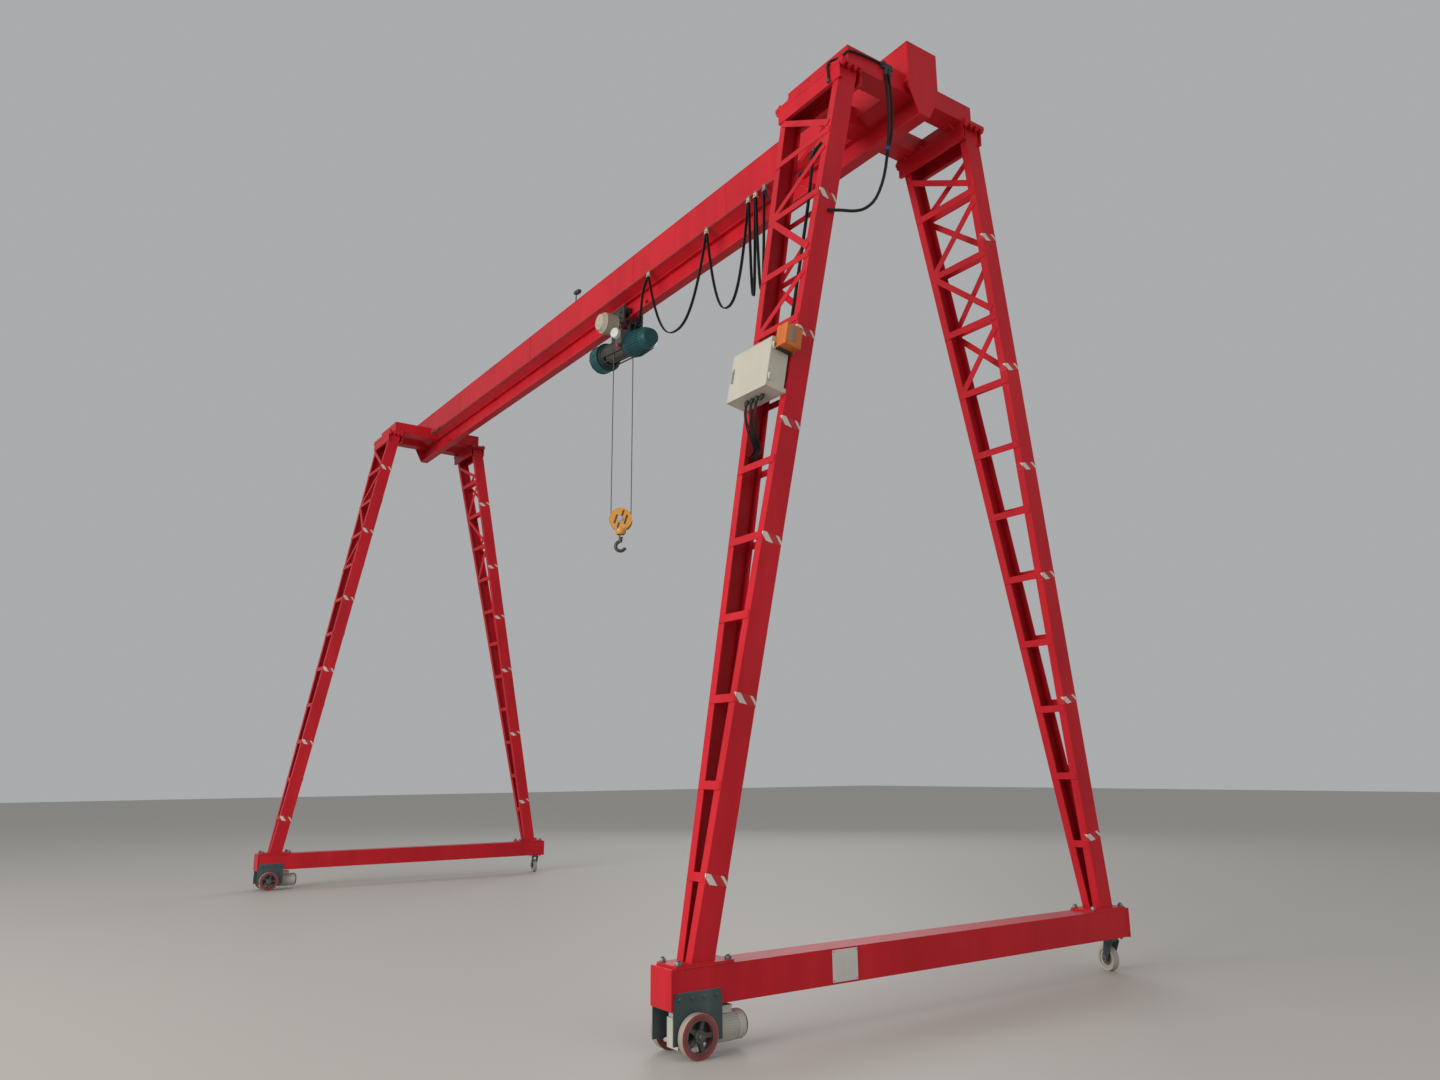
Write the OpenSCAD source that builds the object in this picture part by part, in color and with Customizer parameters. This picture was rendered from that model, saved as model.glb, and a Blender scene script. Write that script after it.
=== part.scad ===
/* [Frame] */
// Distance between the planes of the two leg frames
span = 10000; // [8000:100:12000]
// Height of the rail's underside above the floor
rail_z = 6245; // [5800:5:6800]
// How far the girder runs past the plane of each leg frame
girder_overhang = 400; // [380:10:800]

/* [Girder] */
// Width of the girder's box
girder_w = 310; // [280:10:380]
// Height of the box's upright sides
box_h = 335; // [280:5:420]
// Height of the sloping shoulders below the box
shoulder_h = 45; // [30:5:80]
// Thickness of the box's plates
box_t = 8; // [6:1:12]
// Height of the rail, an I-beam
rail_h = 200; // [180:10:260]
// Width of the rail's flanges
rail_w = 100; // [90:2:120]
// Thickness of the rail's flanges
flange_t = 12; // [9:1:16]
// Thickness of the rail's web
web_t = 8; // [6:1:12]
// Thickness of the plates that close the girder's ends
end_t = 10; // [8:1:16]

/* [Legs] */
// Width of a leg's channels, seen along the girder
leg_d = 150; // [130:2:180]
// Width of the channels' flanges
channel_flange = 62; // [50:1:64]
// Thickness of the channels' web and flanges
channel_t = 8; // [6:1:10]
// Width of a leg at its foot
foot_w = 150; // [140:2:200]
// Width of a leg at its head
head_w = 672; // [560:4:760]
// Distance of a leg's foot from the girder's middle plane
foot_y = 1815; // [1500:5:1860]
// Distance of a leg's head from the girder's middle plane
head_y = 640; // [560:5:760]
// How far both heads stand towards the driven side of that plane
head_shift = 60; // [0:5:80]
// Height of the header channels under a leg's top plate
header_h = 114; // [90:2:150]
// How far the headers stand out from a leg's faces
header_out = 30; // [20:1:50]
// Length of the plates between a leg and its head frame
head_plate = 770; // [720:10:790]
// Thickness of the top, foot and flange plates
plate_t = 16; // [12:1:24]
// Height of a leg's top above the rail's underside
head_up = 160; // [140:2:190]

/* [Head frames] */
// Width of the members that cross the girder
cross_w = 170; // [140:5:200]
// Height of the members that cross the girder
cross_h = 160; // [120:1:180]
// Distance of a cross member's outer face from the leg frame's plane
cross_out = 340; // [320:5:360]

/* [Ground beams] */
// Length of each ground beam
beam_l = 4080; // [3900:20:4400]
// Width of each ground beam
beam_w = 200; // [180:10:240]
// Height of each ground beam
beam_h = 200; // [180:10:240]
// Thickness of the beams' walls
beam_t = 8; // [6:1:12]
// Height of the beams' underside above the floor
beam_z = 250; // [240:5:300]

/* [Lattice] */
// Number of crossed panels at the top of each leg
crossed_panels = 4; // [3:1:5]
// Number of panels between the foot and the header
panels = 12; // [10:1:14]
// Width of the battens
batten_w = 50; // [40:2:60]
// Width of the braces
brace_w = 40; // [34:2:50]
// Thickness of the battens and braces
batten_t = 6; // [5:1:8]

/* [Running gear] */
// Diameter of the driven wheels
drive_d = 230; // [210:2:240]
// Width of the driven wheels
drive_w = 45; // [40:1:55]
// Distance of the driven axle from the beam's end
drive_in = 150; // [140:5:200]
// Diameter of the axle of the driven wheels
axle_d = 30; // [25:1:35]
// Diameter of the caster wheels
caster_d = 176; // [160:2:186]
// Width of the caster wheels
caster_w = 50; // [44:1:56]
// Distance of the casters' upright axis from the beam's end
caster_in = 95; // [80:5:130]
// How far a caster's wheel trails behind its upright axis
caster_trail = 50; // [40:1:56]
// Way the near caster points, from the crane's travel
near_caster_turn = 256; // [0:1:359]
// Way the far caster points, from the crane's travel
far_caster_turn = 262; // [0:1:359]

/* [Cabinet] */
// Width of the control cabinet
cabinet_w = 430; // [360:5:450]
// Height of the control cabinet
cabinet_h = 355; // [300:5:400]
// Depth of the control cabinet with its door
cabinet_d = 140; // [130:5:160]
// Thickness of its sheet metal
cabinet_t = 4; // [3:1:6]
// Height of the cabinet's middle above the floor
cabinet_z = 3990; // [3900:10:4200]

/* [Hoist] */
// Distance of the hoist from the crane's middle
hoist_x = 900; // [600:10:1000]
// Diameter of the drum's casing
drum_d = 220; // [200:5:240]
// Length of the drum's casing
drum_l = 540; // [500:5:580]
// Diameter of the hoist motor at its wide end
motor_d = 280; // [260:5:300]
// Length of the hoist motor
motor_l = 380; // [340:5:400]
// Diameter of the gearbox
gear_d = 310; // [290:5:330]
// Length of the gearbox
gear_l = 190; // [180:5:230]
// Height of the drum's axis above the floor
drum_z = 5945; // [5900:5:5960]
// Slope of the hanging hoist, its motor end lower
hoist_tilt = 5; // [0:0.5:6]
// Diameter of the trolley's wheels
wheel_d = 120; // [100:2:130]
// Diameter of the rope
rope_d = 11; // [9:1:14]
// Distance between the two falls of the rope
fall_gap = 210; // [190:5:220]
// Height of the hook block's pulley above the floor
pulley_z = 4040; // [3600:10:4400]

/* [Power cable] */
// Height of the cable wire above the rail's underside
wire_up = 232; // [225:1:240]
// Width of the flat cable
cable_w = 30; // [24:1:34]
// Thickness of the flat cable
cable_t = 12; // [9:1:14]

/* [Hidden] */

$fn = 40;
red = "#c8202c";
half = span / 2;
fit = 0.3;

// How far the trolley travels from where it stands, and the length of its side plates
travel_min = -4900;
travel_max = 250;
trolley_l = 420;

// Heights that follow from the rail and the beams
rail_top = rail_z + rail_h;
box_z = rail_top + shoulder_h;
girder_top = box_z + box_h;
beam_top = beam_z + beam_h;
leg_bottom = beam_top + plate_t;
leg_top = rail_z + head_up;
cross_z = leg_top + plate_t;
girder_end = half + girder_overhang;

// Lean of a leg along the travel and of its channels along the girder, by side
leg_rise = leg_top - plate_t - leg_bottom;
function head_at(sy) = head_y - sy * head_shift;
function lean(sy) = atan((foot_y - head_at(sy)) / leg_rise);
function leg_len(sy) = leg_rise / cos(lean(sy));
function taper(sy) = atan((head_w - foot_w) / 2 / leg_len(sy));
function half_width(s, sy) = foot_w / 2 + s * tan(taper(sy));

// Height of a lattice panel, and where the battens of each side's legs sit
panel_h = leg_rise / (panels - 0.3);
function batten_s(i, sy) = i * panel_h - (sy > 0 ? 18 : 74);

// Mirrors its children for the frame at the far end of the girder
module at_frame(sx) {
  translate([sx * half, 0, 0]) mirror([sx < 0 ? 1 : 0, 0, 0]) children();
}

// The leaning frame of one leg: Z up along the leg, X along the girder
module on_leg(sx, sy) {
  translate([sx * half, sy * foot_y, leg_bottom]) rotate([sy * lean(sy), 0, 0]) children();
}

module both_y() {
  children();
  mirror([0, 1, 0]) children();
}

// The girder: a box with sloping shoulders that stands on the rail

module box_outline(in) {
  y = girder_w / 2 - in;
  r = rail_w / 2 - in;
  polygon([[-y, girder_top - in], [-y, box_z + in * 0.4], [-r, rail_top], [r, rail_top],
    [y, box_z + in * 0.4], [y, girder_top - in]]);
}

module along_girder(x0, x1) {
  translate([x0, 0, 0]) rotate([90, 0, 90]) linear_extrude(x1 - x0) children();
}

module girder_box() {
  color(red) along_girder(-girder_end + end_t, girder_end - end_t)
    difference() { box_outline(0); box_outline(box_t); }
}

module girder_rail() {
  w = rail_w / 2;
  t = web_t / 2;
  color(red) along_girder(-girder_end + end_t, girder_end - end_t)
    polygon([[-w, rail_z], [w, rail_z], [w, rail_z + flange_t], [t, rail_z + flange_t],
      [t, rail_top - flange_t], [w, rail_top - flange_t], [w, rail_top], [-w, rail_top],
      [-w, rail_top - flange_t], [-t, rail_top - flange_t], [-t, rail_z + flange_t],
      [-w, rail_z + flange_t]]);
}

// Plates over the girder's ends, with the stops that keep the trolley on the rail
stop_l = 60;
stop_near = hoist_x + travel_max + trolley_l / 2 + 8;
stop_far = hoist_x + travel_min - trolley_l / 2 - 8;
module girder_ends() {
  color(red) {
    for (s = [-1, 1]) translate([s > 0 ? girder_end - end_t : -girder_end, 0, 0])
      rotate([90, 0, 90]) linear_extrude(end_t)
        polygon([[-girder_w / 2, girder_top], [-girder_w / 2, box_z - shoulder_h], [-rail_w / 2, rail_z],
          [rail_w / 2, rail_z], [girder_w / 2, box_z - shoulder_h], [girder_w / 2, girder_top]]);
    for (x = [stop_near, stop_far - stop_l]) both_y()
      translate([x, web_t / 2, rail_z + flange_t]) cube([stop_l, 40, 60]);
  }
}

// Head frames: two members across the girder on a bolted flange over each leg
module head_frame() {
  color(red) {
    for (sy = [-1, 1]) mirror([0, sy < 0 ? 1 : 0, 0]) {
      end = head_at(sy) + 10;
      for (x = [-cross_out, cross_out - cross_w]) difference() {
        translate([x, 0, 0]) rotate([90, 0, 90]) linear_extrude(cross_w)
          polygon([[girder_w / 2, cross_z + cross_h], [girder_w / 2, box_z], [rail_w / 2, rail_top],
            [rail_w / 2, cross_z], [end, cross_z], [end, cross_z + cross_h]]);
        translate([x + beam_t, girder_w / 2 + beam_t, cross_z + beam_t])
          cube([cross_w - 2 * beam_t, end - girder_w / 2 - 2 * beam_t, cross_h - 2 * beam_t]);
      }
      translate([cross_w - cross_out - 2, end - end_t, cross_z])
        cube([2 * (cross_out - cross_w) + 4, end_t, cross_h]);
      translate([-head_plate / 2, head_at(sy) - leg_d / 2 - header_out, leg_top])
        cube([head_plate, leg_d + 2 * header_out, plate_t]);
    }
  }
}
module near_head_frame() { at_frame(1) head_frame(); }
module far_head_frame() { at_frame(-1) head_frame(); }

// A leg: two channels that spread towards the head, with foot plate and headers

module channel(l) {
  translate([0, 0, -80]) linear_extrude(l + 160) difference() {
    translate([-channel_flange, -leg_d / 2]) square([channel_flange, leg_d]);
    translate([-channel_flange - 1, -leg_d / 2 + channel_t])
      square([channel_flange + 1 - channel_t, leg_d - 2 * channel_t]);
  }
}

module leg(sx, sy) {
  color(red) {
    intersection() {
      on_leg(sx, sy) for (s = [0, 1]) mirror([s, 0, 0])
        translate([foot_w / 2, 0, 0]) rotate([0, taper(sy), 0]) channel(leg_len(sy));
      translate([sx * half - head_w, -beam_l / 2, leg_bottom]) cube([2 * head_w, beam_l, leg_rise]);
    }
    translate([sx * half, sy * foot_y, beam_top]) foot_plate();
    translate([sx * half - head_plate / 2, sy * head_at(sy) - leg_d / 2 - header_out, leg_top - plate_t])
      cube([head_plate, leg_d + 2 * header_out, plate_t]);
    for (s = [-1, 1])
      translate([sx * half - head_w / 2 - 15, sy * head_at(sy) + s * (leg_d / 2 + header_out), leg_top - plate_t])
        header(s);
  }
}

module foot_plate() {
  translate([-beam_w / 2, -190, 0]) cube([beam_w, 380, plate_t]);
}

// A header channel hangs from the top plate and lies against the leg's face
module header(s) {
  mirror([0, s < 0 ? 0 : 1, 0]) translate([0, 0, -header_h]) difference() {
    cube([head_w + 30, header_out, header_h]);
    translate([-1, channel_t, channel_t]) cube([head_w + 32, header_out, header_h - 2 * channel_t]);
  }
}

module near_drive_leg() { leg(1, -1); }
module near_caster_leg() { leg(1, 1); }
module far_drive_leg() { leg(-1, -1); }
module far_caster_leg() { leg(-1, 1); }

// The lattice of a leg: crossed panels near the head and plain battens below

module batten(s, sy) {
  w = half_width(s, sy) - 12;
  translate([-w, s - batten_w / 2]) square([2 * w, batten_w]);
}

module brace(s0, s1, sy, way) {
  w0 = half_width(s0, sy) - 40;
  w1 = half_width(s1, sy) - 40;
  translate([-way * w0, s0]) rotate(-way * atan2(w0 + w1, s1 - s0))
    translate([-brace_w / 2, 0]) square([brace_w, norm([w0 + w1, s1 - s0])]);
}

// A face's flat bars end below the header, so the top panel is lower than the others
module face_lattice(sy) {
  top = (leg_rise - header_h - leg_d / 2 * sin(lean(sy)) - 4) / cos(lean(sy));
  translate([0, batten_t, 0]) rotate([90, 0, 0]) linear_extrude(batten_t) intersection() {
    union() {
      for (i = [1 : panels - 1]) batten(batten_s(i, sy), sy);
      for (i = [panels - crossed_panels : panels - 1], way = [-1, 1])
        brace(batten_s(i, sy), min(batten_s(i + 1, sy), top), sy, way);
    }
    translate([-head_w, 0]) square([2 * head_w, top]);
  }
}

module lattice(sx, sy) {
  color(red) on_leg(sx, sy) both_y() translate([0, leg_d / 2 + fit, 0]) face_lattice(sy);
}
module near_drive_leg_lattice() { lattice(1, -1); }
module near_caster_leg_lattice() { lattice(1, 1); }
module far_drive_leg_lattice() { lattice(-1, -1); }
module far_caster_leg_lattice() { lattice(-1, 1); }

// Ground beams: box sections closed by plates a little larger than the beam
module ground_beam() {
  lip = 6;
  color(red) {
    difference() {
      translate([-beam_w / 2, -beam_l / 2 + end_t, beam_z]) cube([beam_w, beam_l - 2 * end_t, beam_h]);
      translate([-beam_w / 2 + beam_t, -beam_l / 2 - 1, beam_z + beam_t])
        cube([beam_w - 2 * beam_t, beam_l + 2, beam_h - 2 * beam_t]);
    }
    for (s = [0, 1]) mirror([0, s, 0])
      translate([-beam_w / 2 - lip, beam_l / 2 - end_t, beam_z - lip / 2])
        cube([beam_w + 2 * lip, end_t, beam_h + lip]);
  }
}
module near_ground_beam() { at_frame(1) ground_beam(); }
module far_ground_beam() { at_frame(-1) ground_beam(); }

// Driven wheels: a bracket clasps the beam, the gearbox turns one axle with two wheels
drive_y = -beam_l / 2 + drive_in;
drive_z = drive_d / 2;
bracket_t = 8;
bracket_y0 = -beam_l / 2 + end_t + 3;
bracket_y1 = drive_y + 178;
bracket_bottom = 75;
bracket_top = beam_z + 80;
wheel_in = beam_w / 2 + bracket_t + 6;

module rounded(w, h, r) {
  hull() for (x = [r, w - r], y = [r, h - r]) translate([x, y]) circle(r, $fn = 24);
}

module drive_bracket() {
  l = bracket_y1 - bracket_y0;
  h = bracket_top - bracket_bottom;
  color("#33424c") translate([0, bracket_y0, 0]) {
    for (s = [-1, 1]) translate([s > 0 ? beam_w / 2 + fit : -beam_w / 2 - bracket_t - fit, 0, 0])
      difference() {
        translate([0, 0, bracket_bottom]) rotate([90, 0, 90]) linear_extrude(bracket_t)
          polygon([[0, 0], [l, 0], [l, h - 34], [l - 10, h - 12], [l - 34, h],
            [34, h], [10, h - 12], [0, h - 34]]);
        translate([-1, drive_y - bracket_y0, drive_z]) rotate([0, 90, 0])
          cylinder(d = axle_d + 6, h = bracket_t + 2);
      }
    translate([-beam_w / 2 - fit, 0, beam_z - 10 - fit]) cube([beam_w + 2 * fit, l, 10]);
  }
}
module drive_brackets() { for (s = [-1, 1]) at_frame(s) drive_bracket(); }

gear_w = 110;
gear_h = 150;
gear_l1 = 160;
flange_y = 85;
body_y = 145;
body_l = 165;
cover_l = 50;
motor_x = 20;
drive_motor_d = 150;
module gear_motor() {
  color("#9aa0a2") translate([0, drive_y, 0]) {
    difference() {
      union() {
        translate([-gear_w / 2, -gear_h / 2, drive_z - gear_h / 2]) cube([gear_w, gear_l1, gear_h]);
        translate([-60, -60, drive_z + gear_h / 2 - 1])
          cube([120, 120, beam_z - 10 - 2 * fit - drive_z - gear_h / 2 + 1]);
      }
      translate([-gear_w, 0, drive_z]) rotate([0, 90, 0]) cylinder(d = axle_d + 0.1, h = 2 * gear_w);
    }
    translate([motor_x, flange_y, drive_z]) rotate([-90, 0, 0])
      cylinder(d = gear_w, h = body_y - flange_y);
    translate([motor_x, body_y, drive_z]) rotate([-90, 0, 0]) {
      cylinder(d = drive_motor_d, h = body_l);
      translate([0, 0, body_l]) cylinder(d = drive_motor_d - 12, h = cover_l);
    }
  }
}
module gear_motors() { for (s = [-1, 1]) at_frame(s) gear_motor(); }

module drive_wheels() {
  color("#7a2430") translate([0, drive_y, drive_z]) rotate([0, 90, 0]) {
    cylinder(d = axle_d, h = 2 * (wheel_in + drive_w) + 10, center = true);
    for (s = [0, 1]) mirror([0, 0, s]) translate([0, 0, wheel_in]) drive_wheel();
  }
}

// A wheel with a tyre ring, six spokes and a hub, seen from both sides
module drive_wheel() {
  spoke_w = 22;
  rim = 18;
  tyre = 16;
  difference() {
    cylinder(d = drive_d, h = drive_w, $fn = 64);
    translate([0, 0, -1]) cylinder(d = drive_d - 2 * (tyre + rim), h = drive_w + 2);
  }
  difference() {
    union() {
      cylinder(d = 64, h = drive_w);
      for (i = [0 : 4]) rotate([0, 0, i * 72]) translate([-spoke_w / 2, 0, 10])
        cube([spoke_w, drive_d / 2 - tyre - 6, drive_w - 20]);
    }
    translate([0, 0, -1]) cylinder(d = axle_d - 0.2, h = drive_w + 2);
  }
}
module near_drive_wheels() { at_frame(1) drive_wheels(); }
module far_drive_wheels() { at_frame(-1) drive_wheels(); }

// Casters: a bolted plate, a fork that turns under it and a trailing wheel
caster_y = beam_l / 2 - caster_in;
caster_plate_t = 6;
plate_w = 120;
plate_l = 140;
fork_top = beam_z - caster_plate_t - 16;
fork_t = 6;

module caster_plate() {
  color("#5c6f6a") translate([0, caster_y, 0]) {
    translate([-plate_w / 2, -plate_l / 2, beam_z - caster_plate_t]) cube([plate_w, plate_l, caster_plate_t]);
    translate([0, 0, fork_top + fit]) cylinder(d = 90, h = 16 - fit);
    translate([0, 0, fork_top - fork_t - 6]) cylinder(d = 20, h = 20);
  }
}
module caster_plates() { for (s = [-1, 1]) at_frame(s) caster_plate(); }

module caster_at(sx, turn) {
  translate([sx * half, caster_y, 0]) rotate([0, 0, turn]) children();
}

module caster_fork() {
  z = caster_d / 2;
  color("#44584f") {
    difference() {
      translate([0, 0, fork_top - fork_t]) cylinder(d = 100, h = fork_t);
      translate([0, 0, fork_top - fork_t - 1]) cylinder(d = 20.1, h = fork_t + 2);
    }
    for (s = [-1, 1]) translate([s * (caster_w / 2 + 5 + fork_t / 2) - fork_t / 2, 0, 0])
      rotate([90, 0, 90]) difference() {
        linear_extrude(fork_t) polygon([[-45, fork_top - fork_t], [45, fork_top - fork_t],
          [20 - caster_trail, z - 20], [-20 - caster_trail, z - 20]]);
        translate([-caster_trail, z, -1]) cylinder(d = 16.1, h = fork_t + 2);
      }
  }
}
module near_caster_fork() { caster_at(1, near_caster_turn) caster_fork(); }
module far_caster_fork() { caster_at(-1, far_caster_turn) caster_fork(); }

module caster_wheel() {
  color("#d8cfae") translate([0, -caster_trail, caster_d / 2]) rotate([0, 90, 0]) {
    difference() {
      cylinder(d = caster_d, h = caster_w, center = true, $fn = 56);
      for (s = [0, 1]) mirror([0, 0, s]) translate([0, 0, caster_w / 2 - 10]) difference() {
        cylinder(d = caster_d - 40, h = 11);
        translate([0, 0, -1]) cylinder(d = 50, h = 13);
      }
    }
    cylinder(d = 16, h = caster_w + 4 * fork_t + 6, center = true);
  }
}
module near_caster_wheel() { caster_at(1, near_caster_turn) caster_wheel(); }
module far_caster_wheel() { caster_at(-1, far_caster_turn) caster_wheel(); }

// The control cabinet on the outer face of the near driven leg
cabinet_s = (cabinet_z - leg_bottom) / cos(lean(-1));
door_t = 14;
hinge_r = 6;
back = batten_t + 2 * fit + 14;

// The cabinet's frame: Y points out of the leg's face, towards the door
module on_cabinet() {
  on_leg(1, -1) translate([0, -leg_d / 2 - back, cabinet_s]) mirror([0, 1, 0]) children();
}

hinge_x = cabinet_w / 2 + hinge_r + 2;
hinge_y = cabinet_d - door_t + 4;
module cabinet_body() {
  d = cabinet_d - door_t;
  color("#c9cdc4") on_cabinet() {
    difference() {
      translate([-cabinet_w / 2, 0, -cabinet_h / 2]) cube([cabinet_w, d, cabinet_h]);
      translate([-cabinet_w / 2 + cabinet_t, cabinet_t, -cabinet_h / 2 + cabinet_t])
        cube([cabinet_w - 2 * cabinet_t, d, cabinet_h - 2 * cabinet_t]);
    }
    for (z = [-cabinet_h / 2 + 18, cabinet_h / 2 - 50])
      translate([-cabinet_w / 2, fit - back, z - 15]) cube([cabinet_w, back - fit, 30]);
    for (i = [0 : 7]) translate([-95 + i * 27, d / 2 + 10 * (i % 2), -cabinet_h / 2 - 24])
      cylinder(d = 20, h = 24, $fn = 16);
    for (z = [-cabinet_h / 2 + 40, cabinet_h / 2 - 90]) {
      translate([cabinet_w / 2, d - 12, z]) cube([hinge_x - cabinet_w / 2 + hinge_r - 2, 12, 20]);
      translate([hinge_x, hinge_y, z]) cylinder(r = hinge_r, h = 20, $fn = 24);
      translate([hinge_x, hinge_y, z + 19]) cylinder(r = hinge_r - 2, h = 31, $fn = 24);
    }
  }
}

module cabinet_door() {
  d = cabinet_d - door_t + 1;
  color("#d6d9d0") on_cabinet() {
    translate([-cabinet_w / 2, d, -cabinet_h / 2]) cube([cabinet_w, door_t - 1, cabinet_h]);
    translate([-cabinet_w / 2 + 24, cabinet_d - 1, -14]) cube([14, 9, 60]);
    for (z = [-cabinet_h / 2 + 60 + fit, cabinet_h / 2 - 70 + fit]) difference() {
      union() {
        translate([hinge_x, hinge_y, z]) cylinder(r = hinge_r, h = 29, $fn = 24);
        translate([cabinet_w / 2 - 4, hinge_y + 1, z]) cube([hinge_x - cabinet_w / 2 + 4, 5, 29]);
      }
      translate([hinge_x, hinge_y, z - 1]) cylinder(r = hinge_r - 1.95, h = 31, $fn = 24);
    }
  }
}

module radio_receiver() {
  color("#e8862e") on_cabinet() translate([cabinet_w / 2 + fit, fit - 18, 98]) {
    cube([35, cabinet_d - door_t - 12 - 2 * fit + 18, 158]);
    translate([35, 4, 4]) cube([72, cabinet_d - door_t - 12 + 10, 150]);
  }
}

// The wire that carries the flat cable along the girder, and its end clamp
wire_y = -girder_w / 2 - 25;
wire_z = rail_z + wire_up;
wire_d = 8;
wire_end = half - 420;
clamp_x = 3665;
hanger_x = [1706, 2764, 3429, 3533];
hanger_l = 40;

module cable_wire() {
  color("#8b9094") {
    translate([-wire_end, wire_y, wire_z]) rotate([0, 90, 0]) cylinder(d = wire_d, h = 2 * wire_end, $fn = 16);
  }
}

// The brackets that hold the wire's ends, and the clamp where the cable leaves it
module wire_brackets() {
  color("#8b9094") difference() {
    union() {
      for (x = [-wire_end, wire_end - 10]) translate([x, wire_y - 12, wire_z - 12])
        cube([10, 12 - wire_y - girder_w / 2, 60]);
      hanger(clamp_x, 0);
    }
    translate([-half, wire_y, wire_z]) rotate([0, 90, 0]) cylinder(d = wire_d, h = span, $fn = 16);
  }
}

// A hanger rolls on the wire and clamps the flat cable under it
module hanger(x, gap) {
  translate([x - hanger_l / 2, wire_y, wire_z]) {
    difference() {
      translate([0, -8, -46]) cube([hanger_l, 16, 46 + wire_d / 2 + 5]);
      translate([-1, 0, 0]) rotate([0, 90, 0]) cylinder(d = wire_d + 2 * gap, h = hanger_l + 2, $fn = 24);
    }
    translate([0, -cable_w / 2, -54]) cube([hanger_l, cable_w, 8.5]);
  }
}
module hanger_1() { color("#d8d6cc") hanger(hanger_x[0], fit); }
module hanger_2() { color("#d8d6cc") hanger(hanger_x[1], fit); }
module hanger_3() { color("#d8d6cc") hanger(hanger_x[2], fit); }
module hanger_4() { color("#d8d6cc") hanger(hanger_x[3], fit); }

// A tube swept along points, as one closed skin of eight-sided rings
function unit(v) = v / norm(v);
function ring(p, d, w, t) =
  let (side = unit(cross(d, abs(d[1]) > 0.9 ? [0, 0, sign(d[1])] : [0, 1, 0])), up = unit(cross(side, d)))
  [for (a = [0 : 45 : 359]) p + side * cos(a + 22.5) * t + up * sin(a + 22.5) * w];
function way(p, i) = unit(p[min(i + 1, len(p) - 1)] - p[max(i - 1, 0)]);

module tube(p, w, t) {
  n = len(p);
  pts = [for (i = [0 : n - 1]) each ring(p[i], way(p, i), w / 2, t / 2)];
  faces = concat([[for (k = [7 : -1 : 0]) k]],
    [for (i = [0 : n - 2], k = [0 : 7]) [i * 8 + k, i * 8 + (k + 1) % 8, i * 8 + 8 + (k + 1) % 8, i * 8 + 8 + k]],
    [[for (k = [0 : 7]) (n - 1) * 8 + k]]);
  polyhedron(pts, faces);
}

// A loop of the flat cable hangs between two hangers
function loop_points(x0, x1, drop) =
  let (m = (x0 + x1) / 2, w = (x1 - x0 - cable_t) / 2 - 1,
    run = w * (1 - sin(72)), fall = drop * (1 - pow(sin(72), 2.4)),
    top = wire_z - 54 - fit - 0.462 * cable_t * run / norm([run, fall]))
  [for (i = [0 : 10]) let (u = sin((i - 5) * 18)) [m + w * u, wire_y, top - drop * (1 - pow(abs(u), 2.4))]];

module cable_loop(x0, x1, drop) {
  color("#1b1c1e") tube(loop_points(x0, x1, drop), cable_w, cable_t);
}
module cable_loop_1() { cable_loop(hanger_x[0], hanger_x[1], 790); }
module cable_loop_2() { cable_loop(hanger_x[1], hanger_x[2], 880); }
module cable_loop_3() { cable_loop(hanger_x[2], hanger_x[3], 920); }
module cable_loop_4() { cable_loop(hanger_x[3], clamp_x, 915); }

// Cord routes, chosen by hand
hoist_lead_points = [[1698, -180, 6419], [1650, -182, 6370], [1610, -182, 6290], [1575, -176, 6200],
  [1540, -164, 6120], [1490, -150, 6060], [1420, -135, 6020], [1350, -122, 5990]];
leg_cable_points = [[3677.5, -180, 6422.7], [3677.5, -180, 6400], [3710, -182, 6345], [3780, -188, 6275],
  [3900, -215, 6225], [4100, -260, 6200], [4400, -350, 6190], [4640, -450, 6170], [4820, -545, 6110],
  [4930, -630, 6030], [4980, -688, 5965], [4998, -735, 5905], [5000, -775, 5800], [5000, -838, 5400],
  [5000, -932, 4900], [5000, -1011.2, 4492.7], [5000, -1064.0, 4217.7], [5000, -1088.5, 4130.8],
  [5000, -1122.1, 4070.9], [5000, -1166.9, 4043.8], [5000, -1208.1, 4041.3], [5000, -1237.9, 4046.9]];
head_cable_points = [[5350.4, -345, 6520], [5350.6, -346, 6440], [5364, -352, 6320], [5374, -362, 6100],
  [5374, -385, 5850], [5372, -435, 5600], [5368, -520, 5400], [5360, -620, 5290],
  [5350, -720, 5240], [5330, -810, 5225], [5308, -862, 5220], [5296, -912, 5212]];
module hoist_lead() { color("#1b1c1e") tube(hoist_lead_points, cable_w, cable_t); }
module leg_cable() { color("#1b1c1e") tube(leg_cable_points, 24, 24); }
module head_cable() { color("#1b1c1e") tube(head_cable_points, 22, 22); }

// The trolley: side frames with four wheels on the rail's lower flange
side_y = rail_w / 2 + 50;
side_t = 12;
wheel_z = rail_z + flange_t + wheel_d / 2 + fit;
wheel_x = 130;
bar_x = 165;
bar_d = 32;
bar_z = rail_z - 50;
wheel_w = 31;

module trolley_frame() {
  color("#3b3a33") translate([hoist_x, 0, 0]) {
    both_y() difference() {
      translate([-trolley_l / 2, side_y, rail_z - 75]) cube([trolley_l, side_t, 200]);
      for (x = [-wheel_x, wheel_x]) translate([x, side_y - 1, wheel_z])
        rotate([-90, 0, 0]) cylinder(d = 24.1, h = side_t + 2);
    }
    for (x = [-bar_x, bar_x]) translate([x, 0, bar_z]) rotate([90, 0, 0])
      cylinder(d = bar_d, h = 2 * side_y + 2 * side_t + 24, center = true);
  }
}

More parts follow.
